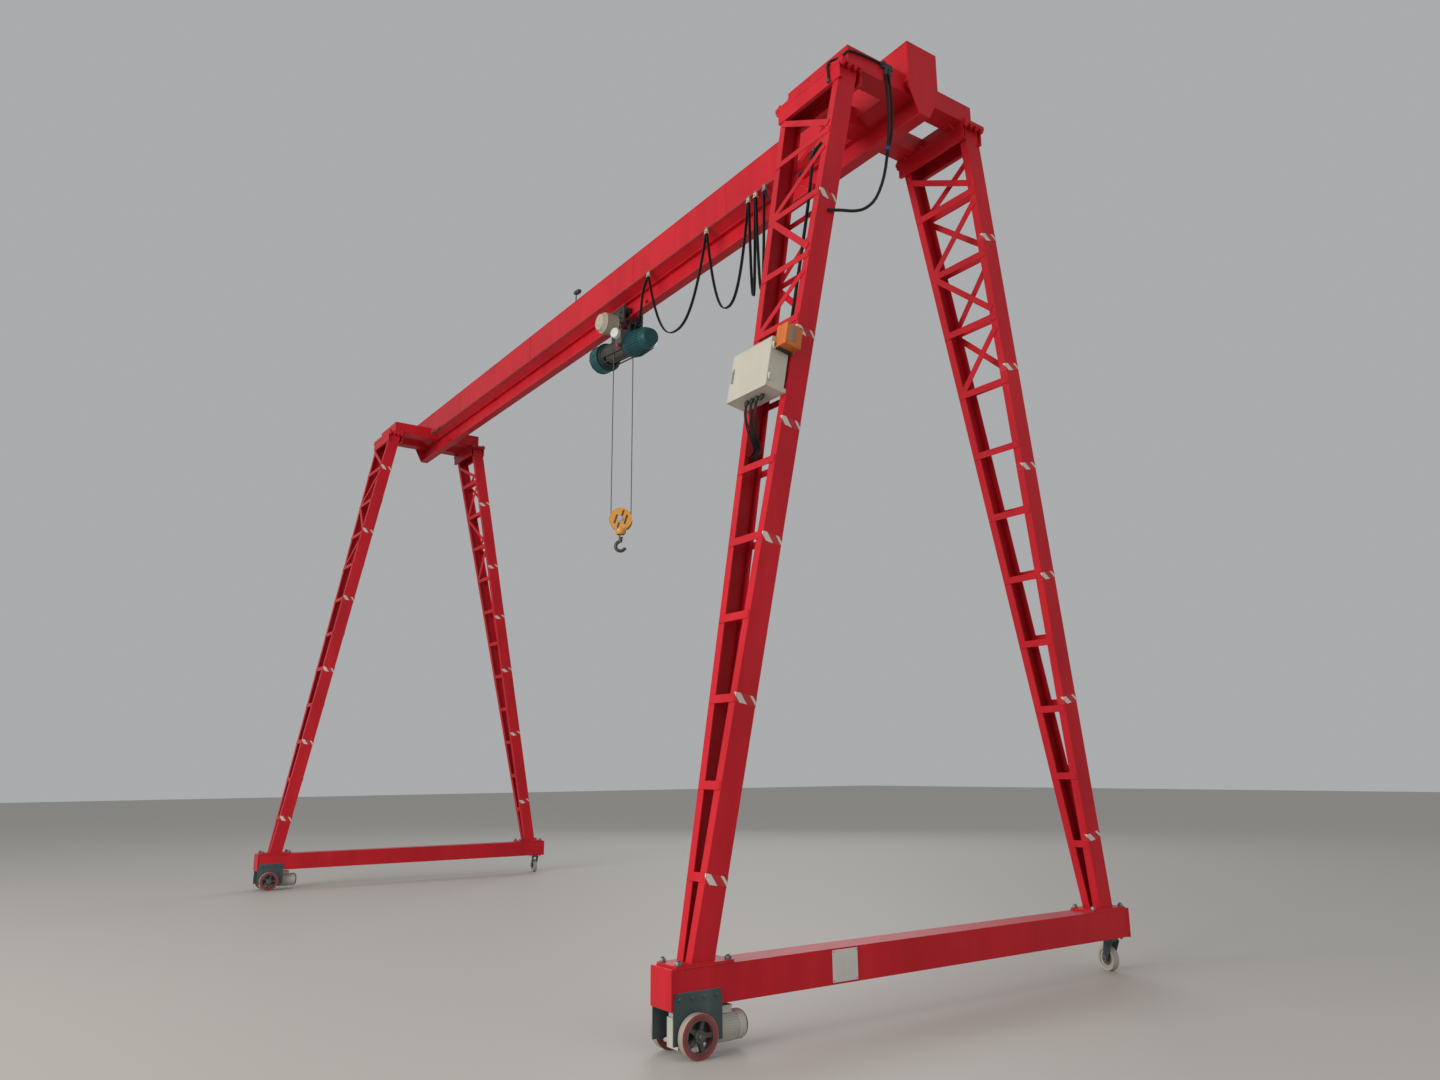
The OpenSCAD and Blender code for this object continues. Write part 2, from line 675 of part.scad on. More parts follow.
module trolley_wheels() {
  color("#4b4a45") translate([hoist_x, 0, wheel_z]) both_y() for (x = [-wheel_x, wheel_x])
    translate([x, rail_w / 2 + 1, 0]) rotate([-90, 0, 0]) {
      translate([0, 0, -wheel_w]) cylinder(d = wheel_d, h = wheel_w + 0.5);
      cylinder(d = wheel_d + 16, h = 8);
      cylinder(d = 24, h = side_y + side_t + 6 - rail_w / 2);
    }
}

module travel_motor() {
  color("#d9d2b6") translate([hoist_x + 50, -side_y - side_t - fit, rail_z - 75]) rotate([90, 0, 0]) {
    cylinder(d = 150, h = 35);
    translate([0, 0, 35]) cylinder(d = 215, h = 140);
    translate([0, 0, 175]) cylinder(d1 = 215, d2 = 170, h = 45);
  }
}

// The hoist hangs from the trolley's cross bars; its frame runs along the drum, Z towards the motor
module on_hoist() {
  translate([hoist_x, 0, drum_z]) rotate([0, 90 + hoist_tilt, 0]) children();
}

drum_from = -340;
module drum_casing() {
  color("#55665f") on_hoist() {
    difference() {
      translate([0, 0, drum_from]) cylinder(d = drum_d, h = drum_l);
      translate([0, 0, drum_from + 50]) cylinder(d = drum_d - 16, h = drum_l - 100);
      translate([40, -drum_d / 2 - 1, drum_from + 70]) cube([drum_d, drum_d + 2, drum_l - 140]);
    }
    translate([0, 0, drum_from + 40]) cylinder(d = drum_d - 60, h = drum_l - 80);
  }
  color("#55665f") difference() {
    translate([hoist_x, 0, 0]) for (x = [-bar_x, bar_x]) both_y()
      translate([x - 32, 30, drum_z + 60]) cube([64, 12, bar_z + 28 - drum_z - 60]);
    on_hoist() translate([0, 0, drum_from + 10]) cylinder(d = drum_d - 8, h = drum_l - 20);
    for (x = [-bar_x, bar_x]) translate([hoist_x + x, 0, bar_z]) rotate([90, 0, 0])
      cylinder(d = bar_d + 0.6, h = 200, center = true);
  }
}

module hoist_motor() {
  color("#1d6f78") on_hoist() translate([0, 0, drum_from + drum_l]) {
    cylinder(d = drum_d + 30, h = 24);
    translate([0, 0, 24]) cylinder(d1 = motor_d, d2 = motor_d - 50, h = motor_l - 90);
    translate([0, 0, motor_l - 66]) cylinder(d1 = motor_d - 50, d2 = motor_d - 110, h = 66);
  }
}

module hoist_gearbox() {
  color("#1f7f92") on_hoist() translate([0, 0, drum_from - gear_l]) {
    translate([0, 0, 40]) cylinder(d = gear_d, h = gear_l - 40);
    cylinder(d1 = gear_d - 90, d2 = gear_d, h = 40);
  }
}

// Two falls of rope, the pulley block and the hook
fall_turn = 55;
fall_top = drum_z;
module at_block() { translate([hoist_x, 0, pulley_z]) rotate([0, 0, fall_turn]) children(); }

module rope_falls() {
  color("#6d6b66") at_block() for (s = [-1, 1]) translate([s * fall_gap / 2, 0, 0])
    cylinder(d = rope_d, h = fall_top - pulley_z, $fn = 14);
}

block_h = 235;
block_w = 240;
block_t = 92;
shank_d = 22;
block_foot = block_w / 2 - block_h;
module hook_block() {
  cheek = 24;
  color("#d9a016") at_block() {
    for (s = [-1, 1]) translate([0, s * (block_t - cheek) / 2, 0]) rotate([90, 0, 0]) {
      cylinder(d = block_w, h = cheek, center = true, $fn = 56);
      translate([-58, block_foot, -cheek / 2]) cube([116, 90, cheek]);
    }
    rotate([90, 0, 0]) cylinder(d = fall_gap - rope_d - 2 * fit, h = block_t - 2 * cheek + 2, center = true);
    difference() {
      translate([-40, -block_t / 2 + 2, block_foot]) cube([80, block_t - 4, 44]);
      translate([0, 0, block_foot - 1]) cylinder(d = shank_d + 0.1, h = 46);
    }
  }
}

hook_r = 50;
hook_t = 36;
hook_drop = 167;
module hook() {
  color("#25282b") at_block() translate([0, 0, block_foot - fit]) {
    translate([0, 0, -hook_drop + hook_r - 6]) cylinder(d = hook_t + 4, h = hook_drop - hook_r + 6);
    translate([0, 0, -hook_drop]) rotate([90, 0, 0]) rotate([0, 0, 96]) rotate_extrude(angle = 244, $fn = 48)
      translate([hook_r, 0]) circle(d = hook_t, $fn = 20);
    cylinder(d = shank_d, h = 14);
  }
}

girder_box();
girder_rail();
girder_ends();
near_head_frame();
far_head_frame();
near_drive_leg();
near_caster_leg();
far_drive_leg();
far_caster_leg();
near_drive_leg_lattice();
near_caster_leg_lattice();
far_drive_leg_lattice();
far_caster_leg_lattice();
near_ground_beam();
far_ground_beam();
drive_brackets();
gear_motors();
near_drive_wheels();
far_drive_wheels();
caster_plates();
near_caster_fork();
far_caster_fork();
near_caster_wheel();
far_caster_wheel();
cabinet_body();
cabinet_door();
radio_receiver();
cable_wire();
wire_brackets();
hanger_1();
hanger_2();
hanger_3();
hanger_4();
hoist_lead();
cable_loop_1();
cable_loop_2();
cable_loop_3();
cable_loop_4();
leg_cable();
head_cable();
trolley_frame();
trolley_wheels();
travel_motor();
drum_casing();
hoist_motor();
hoist_gearbox();
rope_falls();
hook_block();
hook();
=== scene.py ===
import math

import bmesh
import bpy
from mathutils import Matrix, Vector


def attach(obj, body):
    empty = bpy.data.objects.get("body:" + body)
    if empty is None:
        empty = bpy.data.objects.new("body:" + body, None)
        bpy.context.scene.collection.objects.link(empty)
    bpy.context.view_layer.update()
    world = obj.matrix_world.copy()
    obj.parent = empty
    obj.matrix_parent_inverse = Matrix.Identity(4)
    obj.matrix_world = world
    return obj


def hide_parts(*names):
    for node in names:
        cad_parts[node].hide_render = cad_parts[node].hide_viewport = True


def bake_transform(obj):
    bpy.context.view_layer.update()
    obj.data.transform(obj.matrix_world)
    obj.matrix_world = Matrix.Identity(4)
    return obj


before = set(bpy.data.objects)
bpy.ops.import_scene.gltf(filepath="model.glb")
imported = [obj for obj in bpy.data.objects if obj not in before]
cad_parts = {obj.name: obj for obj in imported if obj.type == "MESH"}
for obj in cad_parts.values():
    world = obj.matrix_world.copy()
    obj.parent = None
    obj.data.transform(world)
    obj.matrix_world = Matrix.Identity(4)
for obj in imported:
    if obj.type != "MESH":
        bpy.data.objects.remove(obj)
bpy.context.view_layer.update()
scene = bpy.context.scene

# The camera stands beside the near legs, at eye height on the open side, and looks
# up along the girder.

EYE = (10.0586, -5.2020, 1.4906)
YAW, PITCH, ROLL = 54.7257, 13.2818, -0.4356
camera_data = bpy.data.cameras.new("camera")
camera_data.sensor_width = 36
camera_data.lens = 25.764
camera_data.shift_x = -0.00035
camera_data.shift_y = -0.00962
camera_data.clip_end = 200
camera = bpy.data.objects.new("camera", camera_data)
scene.collection.objects.link(camera)
camera.matrix_world = (
    Matrix.Translation(EYE)
    @ Matrix.Rotation(math.radians(YAW), 4, "Z")
    @ Matrix.Rotation(math.radians(90 + PITCH), 4, "X")
    @ Matrix.Rotation(math.radians(ROLL), 4, "Z")
)
scene.camera = camera

# Power cable: a flat rubber cable in four loops under sliding hangers. A flat lead
# goes on to the hoist, and round ones run to the near leg and over its head.

WIRE_Y, WIRE_Z, SADDLE_H = -0.18, 6.477, 0.0545
HANGERS = {"hanger_a": 1.706, "hanger_b": 2.764, "hanger_c": 3.429, "hanger_d": 3.533}
CLAMP_X = 3.665
CABLE_W, CABLE_T = 0.030, 0.012


def add_node(tree, kind, inputs, **settings):
    """A node with its settings. Each input takes a value, or a link from a socket."""
    n = tree.nodes.new(kind)
    for key, value in settings.items():
        setattr(n, key, value)
    for key, value in inputs.items():
        if isinstance(value, bpy.types.NodeSocket):
            tree.links.new(value, n.inputs[key])
        else:
            n.inputs[key].default_value = value
    return n


def math_node(tree, kind, a, b, clamp=False):
    return add_node(tree, "ShaderNodeMath", {0: a, 1: b}, operation=kind, use_clamp=clamp).outputs[0]


def weighted_sum(tree, a, share_a, b, share_b):
    return math_node(tree, "ADD", math_node(tree, "MULTIPLY", a, share_a), math_node(tree, "MULTIPLY", b, share_b))


def mix_colour(tree, factor, a, b):
    a, b = ((*v, 1) if isinstance(v, tuple) else v for v in (a, b))
    return add_node(tree, "ShaderNodeMix", {0: factor, 6: a, 7: b}, data_type="RGBA").outputs[2]


def noise_node(tree, vector, scale, detail, rough=0.55, stretch=None):
    if stretch:
        vector = add_node(tree, "ShaderNodeMapping", {"Vector": vector, "Scale": stretch}).outputs[0]
    inputs = {"Vector": vector, "Scale": scale, "Detail": detail, "Roughness": rough}
    return add_node(tree, "ShaderNodeTexNoise", inputs).outputs["Fac"]


def span_node(tree, value, low, high, to_low=0.0, to_high=1.0):
    inputs = {"Value": value, "From Min": low, "From Max": high, "To Min": to_low, "To Max": to_high}
    return add_node(tree, "ShaderNodeMapRange", inputs).outputs[0]


def new_group(name, kind, inputs, outputs):
    """A node group with its named sockets, and the two ends that its nodes are linked to."""
    t = bpy.data.node_groups.new(name, kind)
    for way, sockets in (("INPUT", inputs), ("OUTPUT", outputs)):
        for label, sort, *value in sockets:
            s = t.interface.new_socket(label, in_out=way, socket_type=f"NodeSocket{sort}")
            if value:
                s.default_value = value[0]
    return t, t.nodes.new("NodeGroupInput").outputs, t.nodes.new("NodeGroupOutput").inputs


def weathered_group():
    """Colour, roughness and height of an old surface, with dust, chips and uneven colour."""
    t, given, out = new_group("Weathered surface", "ShaderNodeTree", (
        ("Colour", "Color", (0.5, 0.5, 0.5, 1)), ("Deep colour", "Color", (0.3, 0.3, 0.3, 1)),
        ("Dust colour", "Color", (0.42, 0.38, 0.31, 1)), ("Dust", "Float", 0.3), ("Wear", "Float", 0.2),
        ("Roughness", "Float", 0.45)), (("Colour", "Color"), ("Roughness", "Float"), ("Height", "Float")))
    at = add_node(t, "ShaderNodeTexCoord", {}).outputs["Object"]
    normal = add_node(t, "ShaderNodeNewGeometry", {}).outputs["Normal"]
    up = add_node(t, "ShaderNodeSeparateXYZ", {0: normal}).outputs["Z"]
    big = noise_node(t, at, 1.3, 4.0, 0.6)
    streak = noise_node(t, at, 6.0, 4.0, 0.6, (1.0, 1.0, 0.16))
    fine = noise_node(t, at, 90.0, 3.0, 0.6)
    spots = noise_node(t, at, 16.0, 5.0, 0.7)
    tone = span_node(t, weighted_sum(t, big, 0.6, streak, 0.4), 0.36, 0.62)
    colour = mix_colour(t, tone, given["Deep colour"], given["Colour"])
    # Chips and rubbed spots show a dull undercoat
    chip = math_node(t, "MULTIPLY", span_node(t, spots, 0.66, 0.70), given["Wear"])
    colour = mix_colour(t, chip, colour, (0.11, 0.075, 0.06))
    # Dust lies on what faces up and in soft clouds elsewhere
    cloud = span_node(t, weighted_sum(t, streak, 0.7, fine, 0.3), 0.45, 0.72, 0.0, 0.55)
    dust = math_node(t, "ADD", math_node(t, "MULTIPLY", span_node(t, up, 0.25, 0.9), 0.9), cloud)
    dust = math_node(t, "MULTIPLY", dust, given["Dust"], clamp=True)
    colour = mix_colour(t, dust, colour, given["Dust colour"])
    rough = math_node(t, "MULTIPLY", math_node(t, "ADD", dust, chip), 0.35)
    rough = math_node(t, "ADD", given["Roughness"], rough)
    speck = math_node(t, "MULTIPLY", math_node(t, "SUBTRACT", fine, 0.5), 0.12)
    t.links.new(colour, out["Colour"])
    t.links.new(math_node(t, "ADD", rough, speck, clamp=True), out["Roughness"])
    t.links.new(weighted_sum(t, fine, 0.5, spots, 0.5), out["Height"])
    return t


WEATHERED = weathered_group()


def material(name, colour, deep=None, dust=0.3, wear=0.2, rough=0.45, metal=0.0, bump=0.25,
             shine=0.5, pattern=None):
    """A weathered finish. A pattern, where given, puts out the colour instead."""
    m = bpy.data.materials.new(name)
    m.use_nodes = True
    t = m.node_tree
    deep = (*(deep or tuple(c * 0.72 for c in colour)), 1)
    colour = (*colour, 1)
    if pattern:
        colour = pattern(t)
        deep = mix_colour(t, 0.25, colour, (0.05, 0.045, 0.04))
    inputs = {"Colour": colour, "Deep colour": deep, "Dust": dust, "Wear": wear, "Roughness": rough}
    aged = add_node(t, "ShaderNodeGroup", inputs, node_tree=WEATHERED).outputs
    relief = add_node(t, "ShaderNodeBump", {"Strength": bump, "Distance": 0.0015, "Height": aged["Height"]})
    shader = t.nodes["Principled BSDF"].inputs
    t.links.new(aged["Colour"], shader["Base Color"])
    t.links.new(aged["Roughness"], shader["Roughness"])
    t.links.new(relief.outputs[0], shader["Normal"])
    shader["Metallic"].default_value = metal
    shader["Specular IOR Level"].default_value = shine
    return m


def paint(look, *nodes):
    for name in nodes:
        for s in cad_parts[name].material_slots:
            s.link = "OBJECT"
            s.material = look


RUBBER = material("cable_rubber", (0.009, 0.009, 0.010), (0.006, 0.006, 0.006),
                  dust=0.02, wear=0.0, rough=0.5, shine=0.25)
GALVANISED = material("galvanised", (0.36, 0.37, 0.37),
                      dust=0.25, wear=0.1, rough=0.42, metal=0.75)
NYLON = material("cream_nylon", (0.50, 0.44, 0.31), dust=0.35, wear=0.1, rough=0.5)
BOLT = material("bolt_steel", (0.15, 0.145, 0.135), dust=0.2, wear=0.2, rough=0.42, metal=0.7)
BLACK = material("black_plastic", (0.02, 0.02, 0.021), dust=0.2, wear=0.0, rough=0.5)
WHITE = material("white_plastic", (0.62, 0.61, 0.57), dust=0.15, wear=0.05, rough=0.45)


def smooth_line(points, steps):
    """A smooth curve through given points."""
    p = [Vector(q) for q in points]
    p = [p[0] * 2 - p[1]] + p + [p[-1] * 2 - p[-2]]
    out = []
    for k in range(1, len(p) - 2):
        a, b, c, d = p[k - 1:k + 3]
        for s in range(steps):
            t = s / steps
            out.append(0.5 * ((2 * b) + (c - a) * t + (2 * a - 5 * b + 4 * c - d) * t * t
                              + (3 * b - a - 3 * c + d) * t ** 3))
    out.append(p[-2])
    return out


def shaded_object(name, bm, sharp=35):
    """One object of the gathered solids, smooth apart from its sharp edges."""
    bmesh.ops.recalc_face_normals(bm, faces=bm.faces)
    mesh = bpy.data.meshes.new(name)
    bm.to_mesh(mesh)
    bm.free()
    mesh.shade_smooth()
    mesh.set_sharp_from_angle(angle=math.radians(sharp))
    o = bpy.data.objects.new(name, mesh)
    scene.collection.objects.link(o)
    return o


def as_piece(name, bm, look, body=None, sharp=35):
    o = shaded_object(name, bm, sharp)
    o.data.materials.append(look)
    if body:
        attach(o, body)
    return o


def join_rings(bm, rings):
    n = len(rings[0])
    for a, b in zip(rings, rings[1:]):
        for s in range(n):
            bm.faces.new((a[s], a[(s + 1) % n], b[(s + 1) % n], b[s]))
    bm.faces.new(rings[0][::-1])
    bm.faces.new(rings[-1])


def flat_cable(name, line, node):
    """A flat cable with round edges, its broad side level across the girder."""
    bm = bmesh.new()
    half_w, half_t = CABLE_W / 2, CABLE_T / 2
    outline = []
    for side in (1, -1):
        for k in range(5):
            a = math.pi * k / 4 - math.pi / 2
            outline.append((side * (half_w - half_t + half_t * math.cos(a)), side * half_t * math.sin(a)))
    rings = []
    for k, q in enumerate(line):
        way = (line[min(k + 1, len(line) - 1)] - line[max(k - 1, 0)]).normalized()
        across = Vector((0, 1, 0))
        across = (across - way * across.dot(way)).normalized()
        out = way.cross(across)
        rings.append([bm.verts.new(q + across * a + out * b) for a, b in outline])
    join_rings(bm, rings)
    o = as_piece(name, bm, RUBBER)
    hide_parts(node)
    return o


def loop_line(x0, x1, drop, steps=36):
    """The cable's way from one hanger down and up to the next."""
    middle, width = (x0 + x1) / 2, (x1 - x0 - CABLE_T) / 2 - 0.001
    top = WIRE_Z - SADDLE_H
    out = []
    for k in range(steps + 1):
        u = math.sin(math.radians((k / steps - 0.5) * 180))
        out.append(Vector((middle + width * u, WIRE_Y, top - drop * (1 - abs(u) ** 2.4))))
    return out


DROPS = (0.790, 0.880, 0.920, 0.915)
stops = [*HANGERS.items(), ("frame", CLAMP_X)]
for k, (drop, (left, x0), (right, x1)) in enumerate(zip(DROPS, stops, stops[1:]), 1):
    line = loop_line(x0, x1, drop)
    loop = flat_cable(f"flat_cable_loop_{k}", line, f"cable_loop_{k}")
    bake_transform(loop)


def round_cable(name, points, diameter, node=None):
    """A round cable on one smooth curve, held at both of its ends."""
    line = smooth_line(points, 3)
    curve = bpy.data.curves.new(name, "CURVE")
    curve.dimensions = "3D"
    spline = curve.splines.new("POLY")
    spline.points.add(len(line) - 1)
    for p, q in zip(spline.points, line):
        p.co = (*q, 1)
    spline.use_smooth = True
    curve.bevel_depth = diameter / 2
    curve.bevel_resolution = 4
    curve.use_fill_caps = True
    curve.materials.append(RUBBER)
    o = bpy.data.objects.new(name, curve)
    scene.collection.objects.link(o)
    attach(o, "frame")
    if node:
        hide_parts(node)


LEG_CABLE = [
    (3.6775, -0.180, 6.4227), (3.6775, -0.180, 6.400), (3.710, -0.182, 6.345), (3.780, -0.188, 6.275),
    (3.900, -0.215, 6.225), (4.100, -0.260, 6.200), (4.400, -0.350, 6.190), (4.640, -0.450, 6.170),
    (4.820, -0.545, 6.110), (4.930, -0.630, 6.030), (4.980, -0.688, 5.965), (4.998, -0.735, 5.905),
    (5.000, -0.775, 5.800), (5.000, -0.838, 5.400), (5.000, -0.932, 4.900), (5.000, -1.0112, 4.4927),
    (5.000, -1.0640, 4.2177), (5.000, -1.0885, 4.1308), (5.000, -1.1221, 4.0709), (5.000, -1.1669, 4.0438),
    (5.000, -1.2081, 4.0413), (5.000, -1.2379, 4.0469)]
HEAD_CABLE = [
    (5.3504, -0.345, 6.520), (5.3506, -0.346, 6.440), (5.364, -0.352, 6.320), (5.374, -0.362, 6.100),
    (5.374, -0.385, 5.850), (5.372, -0.435, 5.600), (5.368, -0.520, 5.400), (5.360, -0.620, 5.290),
    (5.350, -0.720, 5.240), (5.330, -0.810, 5.225), (5.308, -0.862, 5.220), (5.296, -0.912, 5.212)]
HOIST_LEAD = [
    (1.698, -0.180, 6.419), (1.650, -0.182, 6.370), (1.610, -0.182, 6.290), (1.575, -0.176, 6.200),
    (1.540, -0.164, 6.120), (1.490, -0.150, 6.060), (1.420, -0.135, 6.020), (1.350, -0.122, 5.990)]
round_cable("cable_to_leg", LEG_CABLE, 0.024, "leg_cable")
round_cable("cable_at_head", HEAD_CABLE, 0.022, "head_cable")
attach(flat_cable("cable_to_hoist", smooth_line(HOIST_LEAD, 3), "hoist_lead"), "trolley")

# Cable hangers: moulded saddles that roll on a stretched steel wire. Each has two
# small rollers and a screwed clamp, and turnbuckles at the ends keep the wire tight.


def moved(at=(0, 0, 0), turn=(0, 0, 0)):
    """A placing: turned about X, then Y, then Z, in degrees, and put at a point."""
    m = Matrix.Translation(at)
    for axis, angle in zip("ZYX", reversed(turn)):
        m = m @ Matrix.Rotation(math.radians(angle), 4, axis)
    return m


def aimed(at, way):
    """A placing whose Z looks along way."""
    return Matrix.Translation(at) @ Vector(way).to_track_quat("Z", "Y").to_matrix().to_4x4()


def add_block(bm, size, place=Matrix(), soft=0.0015, steps=2):
    new = bmesh.ops.create_cube(bm, size=1.0)["verts"]
    bmesh.ops.transform(bm, matrix=place @ Matrix.Diagonal((*size, 1)), verts=new)
    edges = list(dict.fromkeys(e for v in new for e in v.link_edges))
    bmesh.ops.bevel(bm, geom=edges, offset=min(soft, min(size) * 0.3), segments=steps, affect="EDGES", profile=0.6)


def add_lathe(bm, outline, place=Matrix(), steps=32):
    """Turns an outline of (radius, height) points about Z. Ends on the axis are closed."""
    rings = []
    for r, z in outline:
        if r < 1e-6:
            rings.append([bm.verts.new(place @ Vector((0, 0, z)))])
        else:
            rings.append([bm.verts.new(place @ Vector((r * math.cos(a), r * math.sin(a), z)))
                          for a in (2 * math.pi * k / steps for k in range(steps))])
    for a, b in zip(rings, rings[1:]):
        for k in range(steps):
            k1 = (k + 1) % steps
            if len(a) == 1 and len(b) == 1:
                continue
            if len(a) == 1:
                bm.faces.new((a[0], b[k1], b[k]))
            elif len(b) == 1:
                bm.faces.new((a[k], a[k1], b[0]))
            else:
                bm.faces.new((a[k], a[k1], b[k1], b[k]))


def add_ring(bm, inner, outer, z0, z1, place=Matrix(), steps=32, soft=0.001):
    """A flat ring with softened outer edges."""
    s = min(soft, (outer - inner) * 0.3, (z1 - z0) * 0.3)
    add_lathe(bm, [(inner, z0), (outer - s, z0), (outer, z0 + s), (outer, z1 - s), (outer - s, z1),
                   (inner, z1), (inner, z0)], place, steps)


def add_rod(bm, radius, z0, z1, place=Matrix(), steps=24, soft=0.001):
    s = min(soft, radius * 0.4, abs(z1 - z0) * 0.3)
    add_lathe(bm, [(0, z0), (radius - s, z0), (radius, z0 + s), (radius, z1 - s), (radius - s, z1), (0, z1)],
              place, steps)


def hexagon(bm, width, z0, z1, place=Matrix()):
    """A nut or bolt head with chamfered corners."""
    r = width / math.sqrt(3)
    c = (z1 - z0) * 0.16
    add_lathe(bm, [(0, z0), (r, z0), (r, z1 - c), (r * 0.93, z1), (0, z1)], place, 6)


paint(NYLON, "hanger_1", "hanger_2", "hanger_3", "hanger_4")
paint(GALVANISED, "wire_brackets")
paint(BOLT, "cable_wire")
SADDLE_HALF, ROLLER_OUT, SCREW_OUT = 0.0079, 0.010, 0.013
ROLLER = [(0, 0), (0.0085, 0), (0.0085, 0.0012), (0.0060, 0.0020), (0.0060, 0.0035), (0, 0.0040)]
for k, (body, x) in enumerate(HANGERS.items(), 1):
    bm = bmesh.new()
    for side in (-1, 1):
        y = WIRE_Y + side * SADDLE_HALF
        for dx in (-ROLLER_OUT, ROLLER_OUT):
            add_lathe(bm, ROLLER, aimed((x + dx, y, WIRE_Z + 0.0005), (0, side, 0)), 20)
        hexagon(bm, 0.010, 0.0, 0.005, aimed((x, y, WIRE_Z - 0.031), (0, side, 0)))
    for dx in (-SCREW_OUT, SCREW_OUT):
        hexagon(bm, 0.009, 0.0, 0.004, aimed((x + dx, WIRE_Y, WIRE_Z - SADDLE_H + 0.0006), (0, 0, -1)))
    as_piece(f"hanger_fittings_{k}", bm, BOLT, body)

WIRE_END, FIRST_CLIP, CLIP_STEP = 4.58, 0.23, 0.04
SLEEVE = [(0, 0.01), (0.0058, 0.01), (0.0058, 0.05), (0.0105, 0.056), (0.0105, 0.075), (0.0080, 0.080),
          (0.0080, 0.150), (0.0105, 0.155), (0.0105, 0.174), (0.0062, 0.180), (0.0062, 0.205), (0, 0.205)]
bm = bmesh.new()
for side in (-1, 1):
    # Turnbuckle: an eye nut and a sleeve with flats, just inside the bracket
    place = aimed((side * (WIRE_END - 0.012), WIRE_Y, WIRE_Z), (-side, 0, 0))
    hexagon(bm, 0.022, 0.0, 0.010, place)
    add_lathe(bm, SLEEVE, place, 16)
    # Cable clips on the wire's tail
    for k in range(3):
        z = FIRST_CLIP + CLIP_STEP * k
        add_block(bm, (0.018, 0.020, 0.012), place @ moved((0, 0, z)), 0.002)
        hexagon(bm, 0.010, 0.0, 0.006, place @ moved((0.009, 0.005, z), (0, 90, 0)))
    for dz in (0.024, 0.036):
        hexagon(bm, 0.013, 0.0, 0.008, aimed((side * (WIRE_END - 0.010), WIRE_Y + 0.012, WIRE_Z + dz), (-side, 0, 0)))
as_piece("wire_turnbuckles", bm, BOLT, "frame")

# Girder: a box of red plates with sloping shoulders, welded along a rolled rail.
# Weld beads run along its corners, and a small post stands on its edge.

SPAN = 5.0
RAIL_TOP, BOX_Z, GIRDER_TOP = 6.445, 6.490, 6.825
GIRDER_HALF, GIRDER_END = 0.155, 5.4
RED = material("red_enamel", (0.53, 0.010, 0.020), (0.41, 0.008, 0.016),
               dust=0.02, wear=0.15, rough=0.40, bump=0.2, shine=0.20)
paint(RED, "girder_box", "girder_rail", "girder_ends")


def bead_group():
    """Turns a mesh's edges into weld beads of uneven width."""
    t, given, out = new_group("Weld bead", "GeometryNodeTree", (
        ("Geometry", "Geometry"), ("Radius", "Float", 0.003), ("Step", "Float", 0.012), ("Sides", "Int", 6),
        ("Finish", "Material")), (("Geometry", "Geometry"),))
    curve = add_node(t, "GeometryNodeMeshToCurve", {0: given["Geometry"]}).outputs[0]
    even = add_node(t, "GeometryNodeResampleCurve", {"Curve": curve, "Length": given["Step"]}, mode="LENGTH")
    profile = add_node(t, "GeometryNodeCurvePrimitiveCircle", {"Radius": 1.0, "Resolution": given["Sides"]})
    uneven = noise_node(t, add_node(t, "GeometryNodeInputPosition", {}).outputs[0], 55.0, 2.0)
    width = math_node(t, "MULTIPLY", span_node(t, uneven, 0.3, 0.7, 0.7, 1.25), given["Radius"])
    skin = add_node(t, "GeometryNodeCurveToMesh", {
        "Curve": even.outputs[0], "Profile Curve": profile.outputs["Curve"], "Scale": width, "Fill Caps": True})
    finish = add_node(t, "GeometryNodeSetMaterial", {"Geometry": skin.outputs[0], "Material": given["Finish"]})
    t.links.new(finish.outputs[0], out["Geometry"])
    return t


BEAD = bead_group()


def grown(name, mesh, group, look, body, **inputs):
    """One piece made by a Geometry Nodes tree from a mesh, kept as a plain mesh."""
    o = bpy.data.objects.new(name, mesh)
    scene.collection.objects.link(o)
    mod = o.modifiers.new("tree", "NODES")
    mod.node_group = group
    ids = {x.name: x.identifier for x in group.interface.items_tree if x.in_out == "INPUT"}
    for key, value in inputs.items():
        mod[ids[key]] = value
    mod[ids["Finish"]] = look
    made = bpy.data.meshes.new_from_object(o.evaluated_get(bpy.context.evaluated_depsgraph_get()))
    made.name = name
    o.modifiers.clear()
    o.data = made
    bpy.data.meshes.remove(mesh)
    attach(o, body)


def weld(name, lines, radius, look=RED, step=0.012):
    points, edges = [], []
    for line in lines:
        first = len(points)
        points += [tuple(p) for p in line]
        edges += [(k, k + 1) for k in range(first, len(points) - 1)]
    mesh = bpy.data.meshes.new(name)
    mesh.from_pydata(points, edges, [])
    grown(name, mesh, BEAD, look, "frame", Radius=radius, Step=step)


ends = GIRDER_END - 0.011
lines = []
for side in (-1, 1):
    for y, z in ((0.0505, RAIL_TOP - 0.001), (GIRDER_HALF, BOX_Z), (GIRDER_HALF, GIRDER_TOP - 0.009)):
        lines.append([(-ends, side * y, z), (ends, side * y, z)])
weld("girder_seams", lines, 0.0022, step=0.03)
lines = []
for x in (-ends, ends):
    lines.append([(x, -0.05, RAIL_TOP), (x, -GIRDER_HALF, BOX_Z), (x, -GIRDER_HALF, GIRDER_TOP),
                  (x, GIRDER_HALF, GIRDER_TOP), (x, GIRDER_HALF, BOX_Z), (x, 0.05, RAIL_TOP)])
# The box is made of five lengths of plate, butt-welded at these places
for x in (-3.55, -1.2, 1.35, 3.05):
    for side in (-1, 1):
        lines.append([(x, side * GIRDER_HALF, BOX_Z), (x, side * GIRDER_HALF, GIRDER_TOP - 0.008)])
weld("girder_end_seams", lines, 0.0036)

